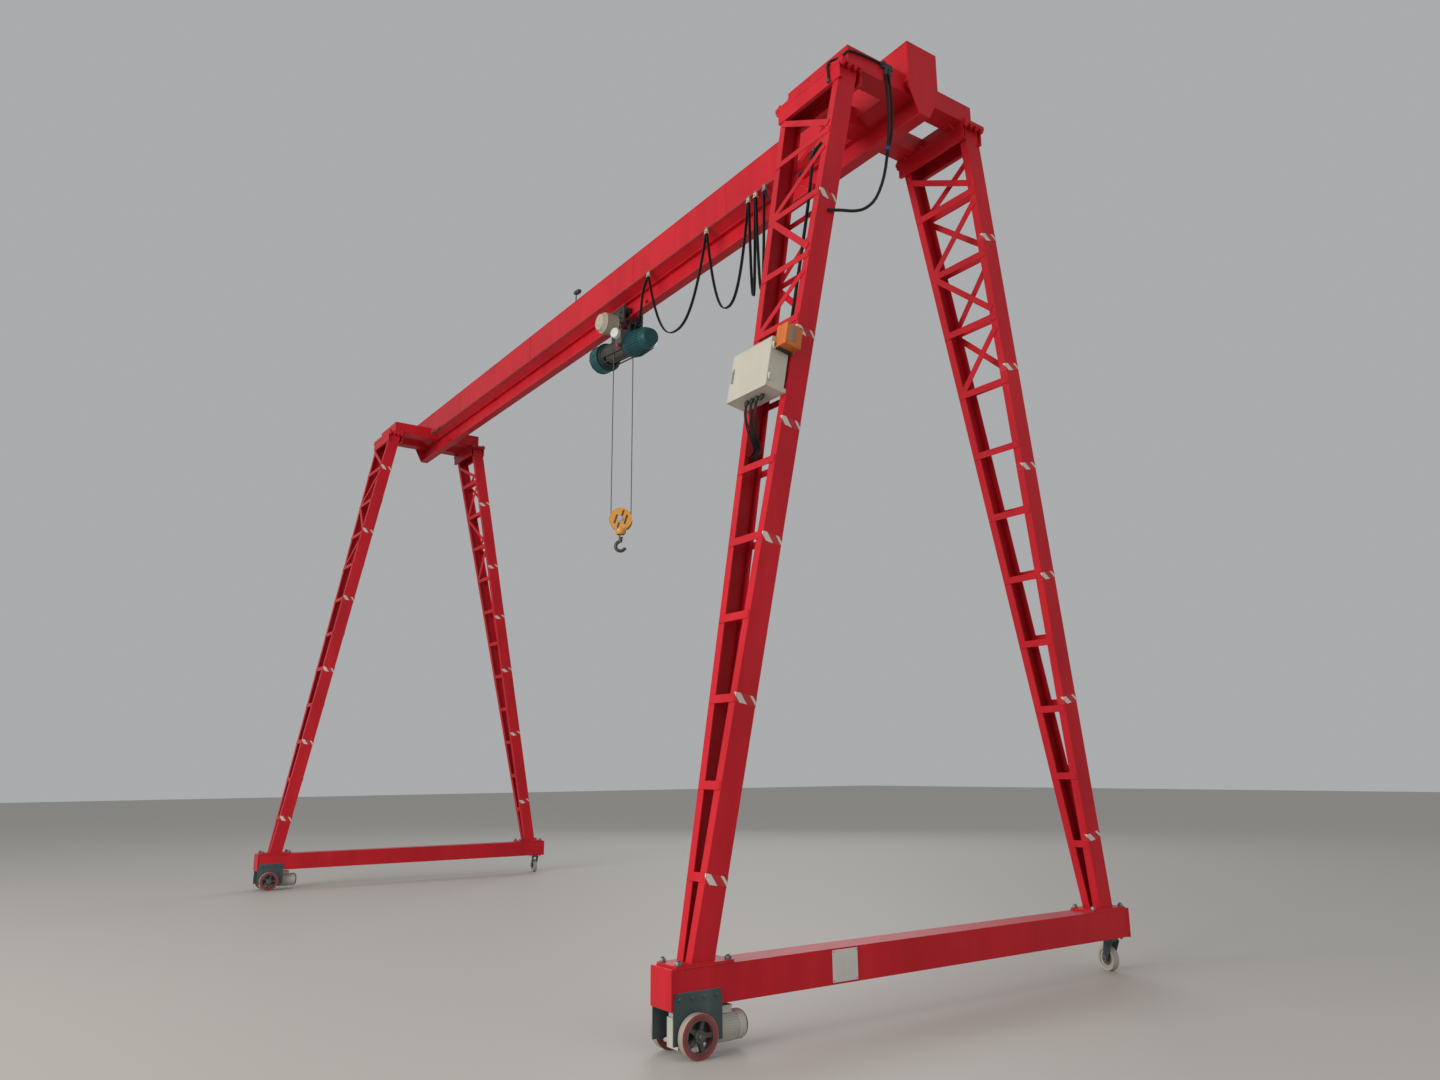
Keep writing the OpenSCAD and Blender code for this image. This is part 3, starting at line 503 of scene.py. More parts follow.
POST_Y, POST_H = -0.140, 0.112
bm = bmesh.new()
add_rod(bm, 0.0065, 0, POST_H, moved((0.010, POST_Y, GIRDER_TOP)), 14)
add_block(bm, (0.050, 0.040, 0.006), moved((0.015, POST_Y + 0.010, GIRDER_TOP + 0.003)))
add_block(bm, (0.105, 0.044, 0.044), moved((0.047, POST_Y, GIRDER_TOP + POST_H - 0.002), (0, 6, 0)), 0.008, 3)
add_rod(bm, 0.015, 0, 0.030, aimed((-0.004, POST_Y, GIRDER_TOP + POST_H + 0.006), (-1, 0, 0.25)), 18)
as_piece("girder_post", bm, BLACK, "frame")

# Head frames: two cross members over each pair of legs, bolted down through a pair
# of flange plates. The bolts stand in rows along the plates' edges.

FLANGE_Z, CROSS_Z, CROSS_H = 6.405, 6.421, 0.160
HEAD_Y = {1: 0.58, -1: 0.70}
CROSS_OUT, CROSS_W, PLATE_T = 0.340, 0.170, 0.016
CORNERS = [(sx, sy) for sx in (1, -1) for sy in (1, -1)]
paint(RED, "near_head_frame", "far_head_frame")


def repeat_group():
    """Puts a template on every point of a mesh, turned as the point's own attribute says."""
    t, given, out = new_group("Template on spots", "GeometryNodeTree", (
        ("Geometry", "Geometry"), ("Template", "Object"), ("Finish", "Material"), ("Twist", "Float", 0.0),
        ("Seed", "Int", 1)), (("Geometry", "Geometry"),))
    shape = add_node(t, "GeometryNodeObjectInfo", {"Object": given["Template"]}).outputs["Geometry"]
    turn = add_node(t, "GeometryNodeInputNamedAttribute", {"Name": "turn"}, data_type="FLOAT_VECTOR")
    put = add_node(t, "GeometryNodeInstanceOnPoints", {
        "Points": given["Geometry"], "Instance": shape, "Rotation": turn.outputs["Attribute"]})
    least = math_node(t, "MULTIPLY", given["Twist"], -1.0)
    chance = add_node(t, "FunctionNodeRandomValue", {2: least, 3: given["Twist"], "Seed": given["Seed"]},
                      data_type="FLOAT")
    twist = add_node(t, "ShaderNodeCombineXYZ", {"Z": chance.outputs[1]}).outputs[0]
    spin = add_node(t, "GeometryNodeRotateInstances", {"Instances": put.outputs["Instances"], "Rotation": twist})
    real = add_node(t, "GeometryNodeRealizeInstances", {"Geometry": spin.outputs["Instances"]}).outputs["Geometry"]
    finish = add_node(t, "GeometryNodeSetMaterial", {"Geometry": real, "Material": given["Finish"]})
    t.links.new(finish.outputs["Geometry"], out["Geometry"])
    return t


REPEAT = repeat_group()
TEMPLATES = []


def repeat(name, pattern, spots, look, body, twist=0, seed=1):
    """One piece with a copy of the template's mesh at every placing in spots."""
    mesh = bpy.data.meshes.new(name)
    mesh.from_pydata([s.to_translation() for s in spots], [], [])
    turns = mesh.attributes.new("turn", "FLOAT_VECTOR", "POINT")
    for k, s in enumerate(spots):
        turns.data[k].vector = s.to_euler()
    grown(name, mesh, REPEAT, look, body, Template=pattern, Twist=math.radians(twist), Seed=seed)


def template(name, bm):
    """A mesh that only serves as a pattern for repeats."""
    TEMPLATES.append(shaded_object(name, bm))
    return TEMPLATES[-1]


def bolt_template(name, size):
    """Washer, nut and the thread's end. The bolt stands on its XY plane."""
    bm = bmesh.new()
    add_rod(bm, size * 1.05, 0, size * 0.16, steps=20, soft=0.0003)
    hexagon(bm, size * 1.65, size * 0.16, size * 0.95)
    add_rod(bm, size * 0.48, size * 0.9, size * 1.35, steps=14, soft=size * 0.08)
    return template(name, bm)


BOLT_20 = bolt_template("bolt_20", 0.020)
BOLT_12 = bolt_template("bolt_12", 0.012)
BOLT_6 = bolt_template("bolt_6", 0.006)

# Rows of bolts along the plates' long edges and beside the header, and the welds
# that hold the cross members to the girder and to the upper plates
ROW_STEP, ROW_OUT, END_OUT = 0.116, 0.085, 0.369
spots, lines = [], []
for sx, sy in CORNERS:
    x, y = sx * SPAN, HEAD_Y[sy]
    for k in range(7):
        spots.append(moved((x - 3 * ROW_STEP + ROW_STEP * k, sy * (y + ROW_OUT), CROSS_Z)))
    for dx in (-0.110, 0.0, 0.110, -0.365, 0.365):
        spots.append(moved((x + dx, sy * (y - 0.086), CROSS_Z)))
    for dx in (-END_OUT, END_OUT):
        for dy in (-ROW_OUT, -0.03, 0.03, ROW_OUT):
            spots.append(moved((x + dx, sy * y + dy, FLANGE_Z - PLATE_T), (180, 0, 0)))
    seam, wall, end = CROSS_Z + 0.001, sy * (GIRDER_HALF + 0.002), sy * (y + 0.010)
    for dx in (-CROSS_OUT, -CROSS_OUT + CROSS_W, CROSS_OUT - CROSS_W, CROSS_OUT):
        lines.append([(x + dx, wall, CROSS_Z + CROSS_H), (x + dx, wall, BOX_Z)])
        lines.append([(x + dx, sy * (y - 0.103), seam), (x + dx, end, seam)])
    lines.append([(x - CROSS_OUT, end, seam), (x + CROSS_OUT, end, seam)])
repeat("flange_bolts", BOLT_20, spots, RED, "frame", twist=180)
weld("head_frame_seams", lines, 0.0042)

# Gussets stiffen the corners between the flange plates and the cross members
GUSSET_X, GUSSET_HALF, GUSSET_L = 0.255, 0.004, 0.060
bm = bmesh.new()
for sx, sy in CORNERS:
    for x in (-GUSSET_X, GUSSET_X):
        y0, y1 = sy * (HEAD_Y[sy] - 0.105), sy * (HEAD_Y[sy] - 0.105 - GUSSET_L)
        outline = ((y0, FLANGE_Z), (y0, FLANGE_Z - PLATE_T), (y1, CROSS_Z), (y0, CROSS_Z))
        join_rings(bm, [[bm.verts.new((sx * SPAN + x + dx, y, z)) for y, z in outline]
                        for dx in (-GUSSET_HALF, GUSSET_HALF)])
as_piece("head_gussets", bm, RED, "frame")

# Head cables: they leave a clamp on the near cross member. Blue and white tape marks
# the first, and a second one goes from the clamp down into the header.

CLAMP_LEFT, CLAMP_Z = 5.3520, 6.523
bm = bmesh.new()
add_block(bm, (0.026, 0.110, 0.046), moved((5.3540, -0.338, 6.545)), 0.005, 3)
add_block(bm, (0.034, 0.026, 0.022), moved((5.3570, -0.372, 6.560)), 0.004)
for y in (-0.3455, -0.3110):
    place = aimed((CLAMP_LEFT, y, CLAMP_Z), (0, 0, -1))
    hexagon(bm, 0.030, 0, 0.016, place)
    add_lathe(bm, [(0, 0.014), (0.0145, 0.014), (0.0145, 0.034), (0.0118, 0.044), (0, 0.044)], place, 20)
add_block(bm, (0.030, 0.020, 0.024), moved((5.2410, -0.8135, 6.296)), 0.004)
as_piece("cable_clamps", bm, BLACK, "frame")
HEADER_CABLE = [
    (5.3535, -0.388, 6.549), (5.3535, -0.420, 6.549), (5.3535, -0.520, 6.545), (5.3535, -0.640, 6.535),
    (5.3510, -0.690, 6.528), (5.3350, -0.716, 6.520), (5.3050, -0.7225, 6.512), (5.2720, -0.7300, 6.506),
    (5.2500, -0.7480, 6.496), (5.2440, -0.7850, 6.470), (5.2430, -0.8150, 6.432), (5.2425, -0.8240, 6.395),
    (5.2420, -0.8185, 6.350), (5.2410, -0.8145, 6.300)]
SECOND_CABLE = [
    (5.3520, -0.3120, 6.524), (5.3525, -0.3110, 6.440), (5.3640, -0.3140, 6.320), (5.3740, -0.3220, 6.150),
    (5.3740, -0.3360, 6.000), (5.3740, -0.3560, 5.900), (5.3740, -0.3710, 5.862), (5.3740, -0.3790, 5.836)]
round_cable("cable_to_header", HEADER_CABLE, 0.018)
round_cable("second_head_cable", SECOND_CABLE, 0.020)
TAPE_BLUE = material("blue_tape", (0.020, 0.030, 0.16), dust=0.05, wear=0.0, rough=0.45)
head_line = smooth_line(HEAD_CABLE, 8)
for name, look, z0, z1 in (("blue_cable_tape", TAPE_BLUE, 5.800, 5.862), ("white_cable_tape", WHITE, 5.760, 5.790)):
    wrapped = [q for q in head_line if z0 <= q.z <= z1]
    a, b = wrapped[0], wrapped[-1]
    half = (b - a).length / 2
    bm = bmesh.new()
    add_ring(bm, 0.0112, 0.0160, -half, half, aimed((a + b) / 2, b - a), 24)
    as_piece(name, bm, look, "frame")

# Legs: each is two red channels that spread towards the head, laced by flat bars.
# The bars are welded on, and bands of red and white tape mark the outer channel.

LEG_BOTTOM, LEG_RISE = 0.466, 5.923
FOOT_Y, LEG_D, FOOT_W, LEG_HEAD_W = 1.815, 0.150, 0.150, 0.672
PANELS, CROSSED = 12, 4
HEADER_H, HEADER_OUT = 0.114, 0.030
PANEL_H = LEG_RISE / (PANELS - 0.3)
LEGS = {("near", "drive"): (1, -1), ("near", "caster"): (1, 1),
        ("far", "drive"): (-1, -1), ("far", "caster"): (-1, 1)}
lean = {sy: math.atan((FOOT_Y - HEAD_Y[sy]) / LEG_RISE) for sy in (1, -1)}
leg_len = {sy: LEG_RISE / math.cos(lean[sy]) for sy in (1, -1)}
for a, b in LEGS:
    paint(RED, f"{a}_{b}_leg")


def leg_frame(sx, sy):
    """Z up along the leaning leg, X along the girder, Y level with the leg's faces."""
    return Matrix.Translation((sx * SPAN, sy * FOOT_Y, LEG_BOTTOM)) @ Matrix.Rotation(sy * lean[sy], 4, "X")


def half_width(s, sy):
    return FOOT_W / 2 + s * (LEG_HEAD_W - FOOT_W) / 2 / leg_len[sy]


# Battens join the channels on both faces. Those of the faces towards +Y sit a little
# higher, and the top three of the driven side's legs a little lower.
BATTEN_W, BATTEN_T, FIT = 0.050, 0.006, 0.0003
BATTEN_DOWN, BACK_UP, TOP_DOWN = {-1: 0.074, 1: 0.018}, 0.025, 0.028


def batten_s(i, sy, face):
    lower = TOP_DOWN if sy < 0 and i > PANELS - CROSSED else 0
    return i * PANEL_H - BATTEN_DOWN[sy] - lower + (BACK_UP if face > 0 else 0)


def add_brace(bm, leg, face, start, end):
    """A flat bar on one face of the leg between two (x, s) points."""
    a, b = (Vector((x, face * (LEG_D / 2 + FIT + BATTEN_T / 2), s)) for x, s in (start, end))
    place = Matrix.Translation((a + b) / 2) @ Matrix.Rotation(math.atan2(b.x - a.x, b.z - a.z), 4, "Y")
    add_block(bm, (BRACE_W, BATTEN_T - 0.0006, (b - a).length), leg @ place, 0.0006, 1)


# Each face of a crossed panel has one slanting bar. It changes its way from panel to
# panel and from face to face, and its outer end stands off the corner.
BRACE_W, BRACE_IN = 0.048, 0.034
BRACE_UP, BRACE_DOWN = {-1: 0.125, 1: 0.090}, 0.065
BACK_RISE, BACK_IN, BACK_FALL = 0.045, 0.030, 0.045
bars = bmesh.new()
for sx, sy in LEGS.values():
    leg = leg_frame(sx, sy)
    top = (LEG_RISE - HEADER_H - LEG_D / 2 * math.sin(lean[sy]) - 0.004) / math.cos(lean[sy])
    for face in (-1, 1):
        y = face * (LEG_D / 2 + FIT + BATTEN_T / 2)
        for i in range(1, PANELS):
            s0 = batten_s(i, sy, face)
            add_block(bars, (2 * half_width(s0, sy) - 0.024, BATTEN_T, BATTEN_W), leg @ moved((0, y, s0)), 0.0006, 1)
            if i < PANELS - CROSSED:
                continue
            last = i == PANELS - 1
            s1 = top - 0.022 if last else batten_s(i + 1, sy, face)
            rising = (i % 2 == 0) == (face < 0)
            inset = BRACE_IN
            if rising and face < 0:
                s_in, s_out = s0, s1 - BRACE_UP[sy]
            elif rising:
                s_in, s_out = s0 + BACK_RISE, s1 - (0 if last else 0.010)
                inset = BRACE_IN + BACK_IN * (2 if last else 1)
            else:
                fall = BACK_FALL if face > 0 else 0
                s_in, s_out = s1 - fall, s0 + BRACE_DOWN - fall
            inner_end, outer_end = (BRACE_IN - half_width(s_in, sy), s_in), (half_width(s_out, sy) - inset, s_out)
            add_brace(bars, leg, face, inner_end, outer_end)
lattice = as_piece("leg_lattices", bars, RED, "frame")
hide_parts(*(f"{a}_{b}_leg_lattice" for a, b in LEGS))

# Tape bands: red tape wraps the channel's web and laps onto both flanges. Two white
# slanting stripes lie on the web, and a third one on a flange.
RED_TAPE = material("red_tape", (0.50, 0.010, 0.018), dust=0.04, wear=0.0, rough=0.35)
WHITE_TAPE = material("white_tape", (0.66, 0.58, 0.52), dust=0.12, wear=0.25, rough=0.4)
TAPE_T, TAPE_H, TAPE_LAP = 0.0010, 0.056, 0.048
TAPE_Z = {(1, -1): (0.887, 1.890, 2.873, 3.640, 4.285, 5.330), (1, 1): (0.987, 1.990, 2.914, 3.745, 4.510, 5.525),
          (-1, -1): (0.895, 1.892, 2.880, 3.890, 4.886, 5.857), (-1, 1): (1.045, 2.048, 3.000, 3.802, 4.570, 5.526)}
WEB_STRIPES = [((0.028, -0.075), (0.028, -0.045), (-0.028, 0.011), (-0.028, -0.044), (0.003, -0.075)),
               ((0.028, 0.022), (0.028, 0.045), (-0.002, 0.075), (-0.025, 0.075))]
FLANGE_STRIPE = ((0.003, 0.0), (0.028, 0.0), (0.028, 0.025))
taped, white, lines, spots = bmesh.new(), bmesh.new(), [], []
for sx, sy in LEGS.values():
    leg = leg_frame(sx, sy)
    taper = math.atan((LEG_HEAD_W - FOOT_W) / 2 / leg_len[sy])
    for z in TAPE_Z[sx, sy]:
        s = (z - LEG_BOTTOM) / math.cos(lean[sy])
        chord = leg @ moved((half_width(s, sy), 0, s)) @ Matrix.Rotation(taper, 4, "Y")
        add_block(taped, (TAPE_T, LEG_D + 0.0024, TAPE_H), chord @ moved((0.0007, 0, 0)), 0.0002, 1)
        for side in (-1, 1):
            lap = moved((-TAPE_LAP / 2, side * (LEG_D / 2 + 0.0007), 0))
            add_block(taped, (TAPE_LAP, TAPE_T, TAPE_H), chord @ lap, 0.0002, 1)
        for stripe in WEB_STRIPES:
            join_rings(white, [[white.verts.new(chord @ Vector((x, y, up))) for up, y in stripe]
                               for x in (0.0010, 0.0016)])
        join_rings(white, [[white.verts.new(chord @ Vector((-u, -LEG_D / 2 - y, up))) for up, u in FLANGE_STRIPE]
                           for y in (0.0010, 0.0017)])
    # Fillets hold both ends of each batten to the channel's flange
    for i in range(1, PANELS):
        for face in (-1, 1):
            s, y = batten_s(i, sy, face), face * (LEG_D / 2 + 0.0015)
            low, high, w = s - BATTEN_W / 2, s + BATTEN_W / 2, half_width(s, sy)
            for side in (-1, 1):
                x0, x1 = side * (w - 0.060), side * (w - 0.0115)
                lines.append([leg @ Vector(p) for p in ((x0, y, low), (x1, y, low), (x1, y, high), (x0, y, high))])
    for dx in (-0.078, 0.078):
        for dy in (-0.165, 0.165):
            spots.append(moved((sx * SPAN + dx, sy * FOOT_Y + dy, LEG_BOTTOM)))
    # The channels' feet and the header's underside are welded too
    for side in (-1, 1):
        x, y = sx * SPAN + side * FOOT_W / 2, sy * FOOT_Y
        lines.append([(x, y - LEG_D / 2, LEG_BOTTOM), (x, y + LEG_D / 2, LEG_BOTTOM)])
        y = sy * HEAD_Y[sy] + side * (LEG_D / 2 + HEADER_OUT)
        lines.append([(sx * SPAN - 0.35, y, FLANGE_Z - PLATE_T), (sx * SPAN + 0.35, y, FLANGE_Z - PLATE_T)])
as_piece("tape_bands", taped, RED_TAPE, "frame")
as_piece("tape_stripes", white, WHITE_TAPE, "frame")
weld("lattice_fillets", lines, 0.0030, step=0.016)
repeat("foot_bolts", BOLT_20, spots, BOLT, "frame", twist=180, seed=2)

# Ground beams: welded red boxes that carry two legs each and end in thick plates.
# A bare white plate is riveted to the near beam's outer side.

BEAM_L, BEAM_W, BEAM_Z, BEAM_TOP = 4.08, 0.200, 0.250, 0.450
paint(RED, "near_ground_beam", "far_ground_beam")
lines = []
for sx in (1, -1):
    for sy in (1, -1):
        y = sy * (BEAM_L / 2 - 0.011)
        x0, x1 = sx * SPAN - BEAM_W / 2, sx * SPAN + BEAM_W / 2
        lines.append([(x0, y, BEAM_Z), (x1, y, BEAM_Z), (x1, y, BEAM_TOP), (x0, y, BEAM_TOP), (x0, y, BEAM_Z)])
    for side in (-1, 1):
        x = sx * SPAN + side * BEAM_W / 2
        for sy in (1, -1):
            lines.append([(x, sy * FOOT_Y - 0.190, BEAM_TOP + 0.001), (x, sy * FOOT_Y + 0.190, BEAM_TOP + 0.001)])
weld("beam_seams", lines, 0.0045)
SHEET_Y, SHEET_Z, SHEET_T, RIVET_IN = (-0.907, -0.708), (0.261, 0.441), 0.0020, 0.010
bm = bmesh.new()
middle = (SPAN + BEAM_W / 2 + SHEET_T / 2, sum(SHEET_Y) / 2, sum(SHEET_Z) / 2)
add_block(bm, (SHEET_T, SHEET_Y[1] - SHEET_Y[0], SHEET_Z[1] - SHEET_Z[0]), moved(middle), 0.0006, 1)
as_piece("bare_plate", bm, WHITE, "frame")
RIVET = [(0, 0), (0.0042, 0), (0.0036, 0.0016), (0.0018, 0.0024), (0, 0.0026)]
bm = bmesh.new()
for y in (SHEET_Y[0] + RIVET_IN, SHEET_Y[1] - RIVET_IN):
    for z in (SHEET_Z[0] + RIVET_IN, SHEET_Z[1] - RIVET_IN):
        add_lathe(bm, RIVET, aimed((SPAN + BEAM_W / 2 + 0.0019, y, z), (1, 0, 0)), 14)
as_piece("bare_plate_rivets", bm, BOLT, "frame")

# Driven wheels: a slate bracket clasps the beam's end, and a geared motor lies under
# the beam. It turns one axle with two wheels, each a tyre ring on spokes and a hub.

DRIVE_Y, DRIVE_Z = -1.890, 0.115
WHEEL_IN, WHEEL_W = 0.114, 0.045


def radius_pattern(centre, way, bands):
    """Colours by the distance from an axle: each band is (inner radius, colour)."""
    def pattern(t):
        at = add_node(t, "ShaderNodeTexCoord", {}).outputs["Object"]
        arm = add_node(t, "ShaderNodeVectorMath", {0: at, 1: centre}, operation="SUBTRACT").outputs[0]
        turned = add_node(t, "ShaderNodeVectorMath", {0: arm, 1: way}, operation="CROSS_PRODUCT").outputs[0]
        far = add_node(t, "ShaderNodeVectorMath", {0: turned}, operation="LENGTH").outputs["Value"]
        colour = bands[0][1]
        for edge, beyond in bands[1:]:
            colour = mix_colour(t, math_node(t, "GREATER_THAN", far, edge), colour, beyond)
        return colour
    return pattern


def polar(radius, degrees, z):
    """A point at an angle about the Z axis."""
    a = math.radians(degrees)
    return radius * math.cos(a), radius * math.sin(a), z


WHEEL_BANDS = [(0, (0.050, 0.050, 0.047)), (0.080, (0.17, 0.020, 0.026)), (0.0985, (0.24, 0.026, 0.032)),
               (0.1138, (0.34, 0.29, 0.23))]
WHEEL = material("tyre_and_hub", (0.16, 0.02, 0.03), dust=0.28, wear=0.05, rough=0.6,
                 pattern=radius_pattern((0, DRIVE_Y, DRIVE_Z), (1, 0, 0), WHEEL_BANDS))
SLATE = material("slate_enamel", (0.040, 0.066, 0.072), dust=0.20, wear=0.5, rough=0.5)
CASTING = material("grey_casting", (0.50, 0.49, 0.44), dust=0.2, wear=0.2, rough=0.55, bump=0.5)
STEEL = material("bare_steel", (0.5, 0.49, 0.47), dust=0.2, wear=0.1, rough=0.35, metal=0.9)
paint(WHEEL, "near_drive_wheels", "far_drive_wheels")
paint(SLATE, "drive_brackets")
paint(CASTING, "gear_motors")

FACE_OUT, FIRST_BOLT, BOLT_STEP, SEAM_Z = 0.0083, -1.990, 0.080, 0.330
spots, small, lines = [], [], []
for sx in (1, -1):
    for side in (-1, 1):
        wall = sx * SPAN + side * (BEAM_W / 2 + FACE_OUT)
        for k in range(4):
            spots.append(aimed((wall, FIRST_BOLT + BOLT_STEP * k, 0.302), (side, 0, 0)))
        x = wall - side * FACE_OUT
        lines.append([(x, -2.020, SEAM_Z), (x, -1.712, SEAM_Z)])
repeat("bracket_bolts", BOLT_12, spots, SLATE, "frame", twist=180, seed=3)


def fin_template(name, size, soft):
    """A thin cast fin, to be repeated around a motor."""
    bm = bmesh.new()
    add_block(bm, size, Matrix(), soft, 1)
    return template(name, bm)


FIN = fin_template("motor_fin", (0.0024, 0.0075, 0.150), 0.0007)
MOTOR_X, MOTOR_Y, MOTOR_END, FINS, FIN_R = 0.020, -1.745, -1.580, 36, 0.0765
HOOD = [(0.0700, MOTOR_END - 0.006), (0.0785, MOTOR_END - 0.006), (0.0785, -1.545), (0.0740, -1.536),
        (0.0700, -1.536)]
GRILLE = [(0.0700, -1.550), (0.0725, -1.550), (0.0725, -1.530), (0.066, -1.523), (0.058, -1.5225)]
for r in (0.057, 0.042, 0.027):
    GRILLE += [(r, -1.5255), (r - 0.006, -1.5255), (r - 0.007, -1.5225), (r - 0.014, -1.5225)]
GRILLE[-1] = (0, -1.5220)
fins, spots = [], []
casting, cover, plugs = bmesh.new(), bmesh.new(), bmesh.new()
for sx in (1, -1):
    motor_x = sx * (SPAN + MOTOR_X)
    axis = aimed((motor_x, 0, DRIVE_Z), (0, 1, 0))
    for a in range(0, 360, 360 // FINS):
        # The terminal box takes the place of the upper fins
        if 65 < a < 115:
            continue
        x, z, y = polar(FIN_R, a, (MOTOR_Y + MOTOR_END) / 2)
        fins.append(Matrix.Translation((motor_x + x, y, DRIVE_Z + z))
                    @ Matrix.Rotation(math.radians(-a), 4, "Y") @ Matrix.Rotation(math.radians(90), 4, "X")
                    @ Matrix.Rotation(math.radians(90), 4, "Z"))
    # Bolted flanges between gearbox and motor, and a rounded cover over the bearing
    for y in (DRIVE_Y + 0.072, DRIVE_Y + 0.128):
        add_ring(casting, 0.040, 0.072, y, y + 0.014, axis, 40, 0.002)
    for k in range(6):
        spots.append(axis @ moved(polar(0.063, 60 * k + 30, DRIVE_Y + 0.072), (180, 0, 0)))
    for side in (-1, 1):
        bearing = aimed((sx * SPAN + side * 0.0545, DRIVE_Y, DRIVE_Z), (side, 0, 0))
        add_ring(casting, 0.0155, 0.044, 0, 0.009, bearing, 36, 0.002)
        for k in range(4):
            small.append(bearing @ moved(polar(0.036, 90 * k + 45, 0.009)))
        for dz in (-0.045, 0.0, 0.045):
            rib = moved((sx * SPAN + side * 0.056, DRIVE_Y + 0.035, DRIVE_Z + dz * 0.9 - 0.005))
            add_block(casting, (0.006, 0.090, 0.007), rib, 0.002)
        plug = aimed((sx * SPAN + side * 0.0548, DRIVE_Y - 0.055, DRIVE_Z - 0.048), (side, 0, 0))
        hexagon(plugs, 0.017, 0, 0.009, plug)
    # Terminal box on the motor's back, with its lid
    add_block(casting, (0.092, 0.100, 0.036), moved((motor_x, -1.668, 0.206)), 0.005, 3)
    add_block(casting, (0.098, 0.106, 0.006), moved((motor_x, -1.668, 0.226)), 0.002)
    # Fan cover: a pale hood with a dark ringed grille
    add_lathe(casting, HOOD, axis, 40)
    add_lathe(cover, GRILLE, axis, 40)
repeat("motor_fins", FIN, fins, CASTING, "frame")
as_piece("motor_castings", casting, CASTING, "frame")
as_piece("motor_fan_grilles", cover, BLACK, "frame")
as_piece("gearbox_plugs", plugs, BOLT, "frame")
repeat("gearbox_bolts", BOLT_6, spots + small, BOLT, "frame", twist=180, seed=4)
weld("bracket_seams", lines, 0.0035, look=SLATE)

for name, sx in (("near", 1), ("far", -1)):
    hub, spots = bmesh.new(), []
    for side in (-1, 1):
        face = aimed((sx * SPAN + side * (WHEEL_IN + WHEEL_W), DRIVE_Y, DRIVE_Z), (side, 0, 0))
        add_ring(hub, 0.0155, 0.0325, -0.001, 0.004, face, 32, 0.001)
        add_rod(hub, 0.0225, 0.0035, 0.0065, face)
        hexagon(hub, 0.030, 0.0060, 0.0160, face)
        for k in range(5):
            spots.append(face @ moved(polar(0.0275, 72 * k + 36, 0.004)))
        add_ring(hub, 0.0805, 0.0830, -0.0010, 0.0016, face, 48, 0.0006)
    as_piece(f"{name}_wheel_hubs", hub, BOLT, f"{name}_drive")
    repeat(f"{name}_hub_bolts", BOLT_6, spots, BOLT, f"{name}_drive", twist=180, seed=5)

# Casters: a bolted plate, a pressed fork that turns on a ball race and a cream wheel
# that trails behind it on a bolt.

CASTER_Y = 1.945
CASTERS = {"near": (1, 256), "far": (-1, 262)}
ROLLER_AT = (0, -0.050, 0.088)
ROLLER_BANDS = [(0, (0.10, 0.075, 0.055)), (0.045, (0.22, 0.19, 0.15)), (0.052, (0.52, 0.49, 0.42)),
                (0.0865, (0.36, 0.34, 0.29))]
SHIELD = [(0.040, 0.0), (0.0425, 0.001), (0.0425, 0.004), (0.040, 0.005), (0.038, 0.004), (0.038, 0.001),
          (0.040, 0.0)]
paint(SLATE, "caster_plates", "near_caster_fork", "far_caster_fork")
spots, race = [], bmesh.new()
for sx in (1, -1):
    for dx in (-0.047, 0.047):
        for dy in (-0.057, 0.057):
            spots.append(moved((sx * SPAN + dx, CASTER_Y + dy, 0.244), (180, 0, 0)))
    for z in (0.2305, 0.2365):
        add_ring(race, 0.030, 0.0475, z, z + 0.004, moved((sx * SPAN, CASTER_Y, 0)), 40, 0.0015)
repeat("caster_plate_bolts", BOLT_12, spots, BOLT, "frame", twist=180, seed=6)
as_piece("caster_races", race, STEEL, "frame")
for name, (sx, turn) in CASTERS.items():
    fork = moved((sx * SPAN, CASTER_Y, 0), (0, 0, turn))
    centre, across = fork @ Vector(ROLLER_AT), fork.to_3x3() @ Vector((1, 0, 0))
    look = material(f"{name}_nylon", (0.5, 0.44, 0.31), dust=0.25, wear=0.1, rough=0.5,
                    pattern=radius_pattern(centre, across, ROLLER_BANDS))
    paint(look, f"{name}_caster_wheel")
    bm = bmesh.new()
    for side in (-1, 1):
        add_ring(bm, 0.0085, 0.0180, 0.0361, 0.0391, fork @ aimed(ROLLER_AT, (side, 0, 0)), 24)
        add_lathe(bm, SHIELD, fork @ moved((0, 0, 0.2170)), 40)
    as_piece(f"{name}_fork_rings", bm, STEEL, f"{name}_swivel")
    bm = bmesh.new()
    for side in (-1, 1):
        axle = fork @ aimed(ROLLER_AT, (side, 0, 0))
        hexagon(bm, 0.022, 0.0395, 0.0490, axle)
        add_ring(bm, 0.0090, 0.0240, 0.0248, 0.0262, axle, 28)
    as_piece(f"{name}_caster_nuts", bm, BOLT, f"{name}_roller")

# Control cabinet: a cream sheet-metal box on two rails across the near driven leg,
# with a swing handle, glands underneath and a radio receiver at its side.

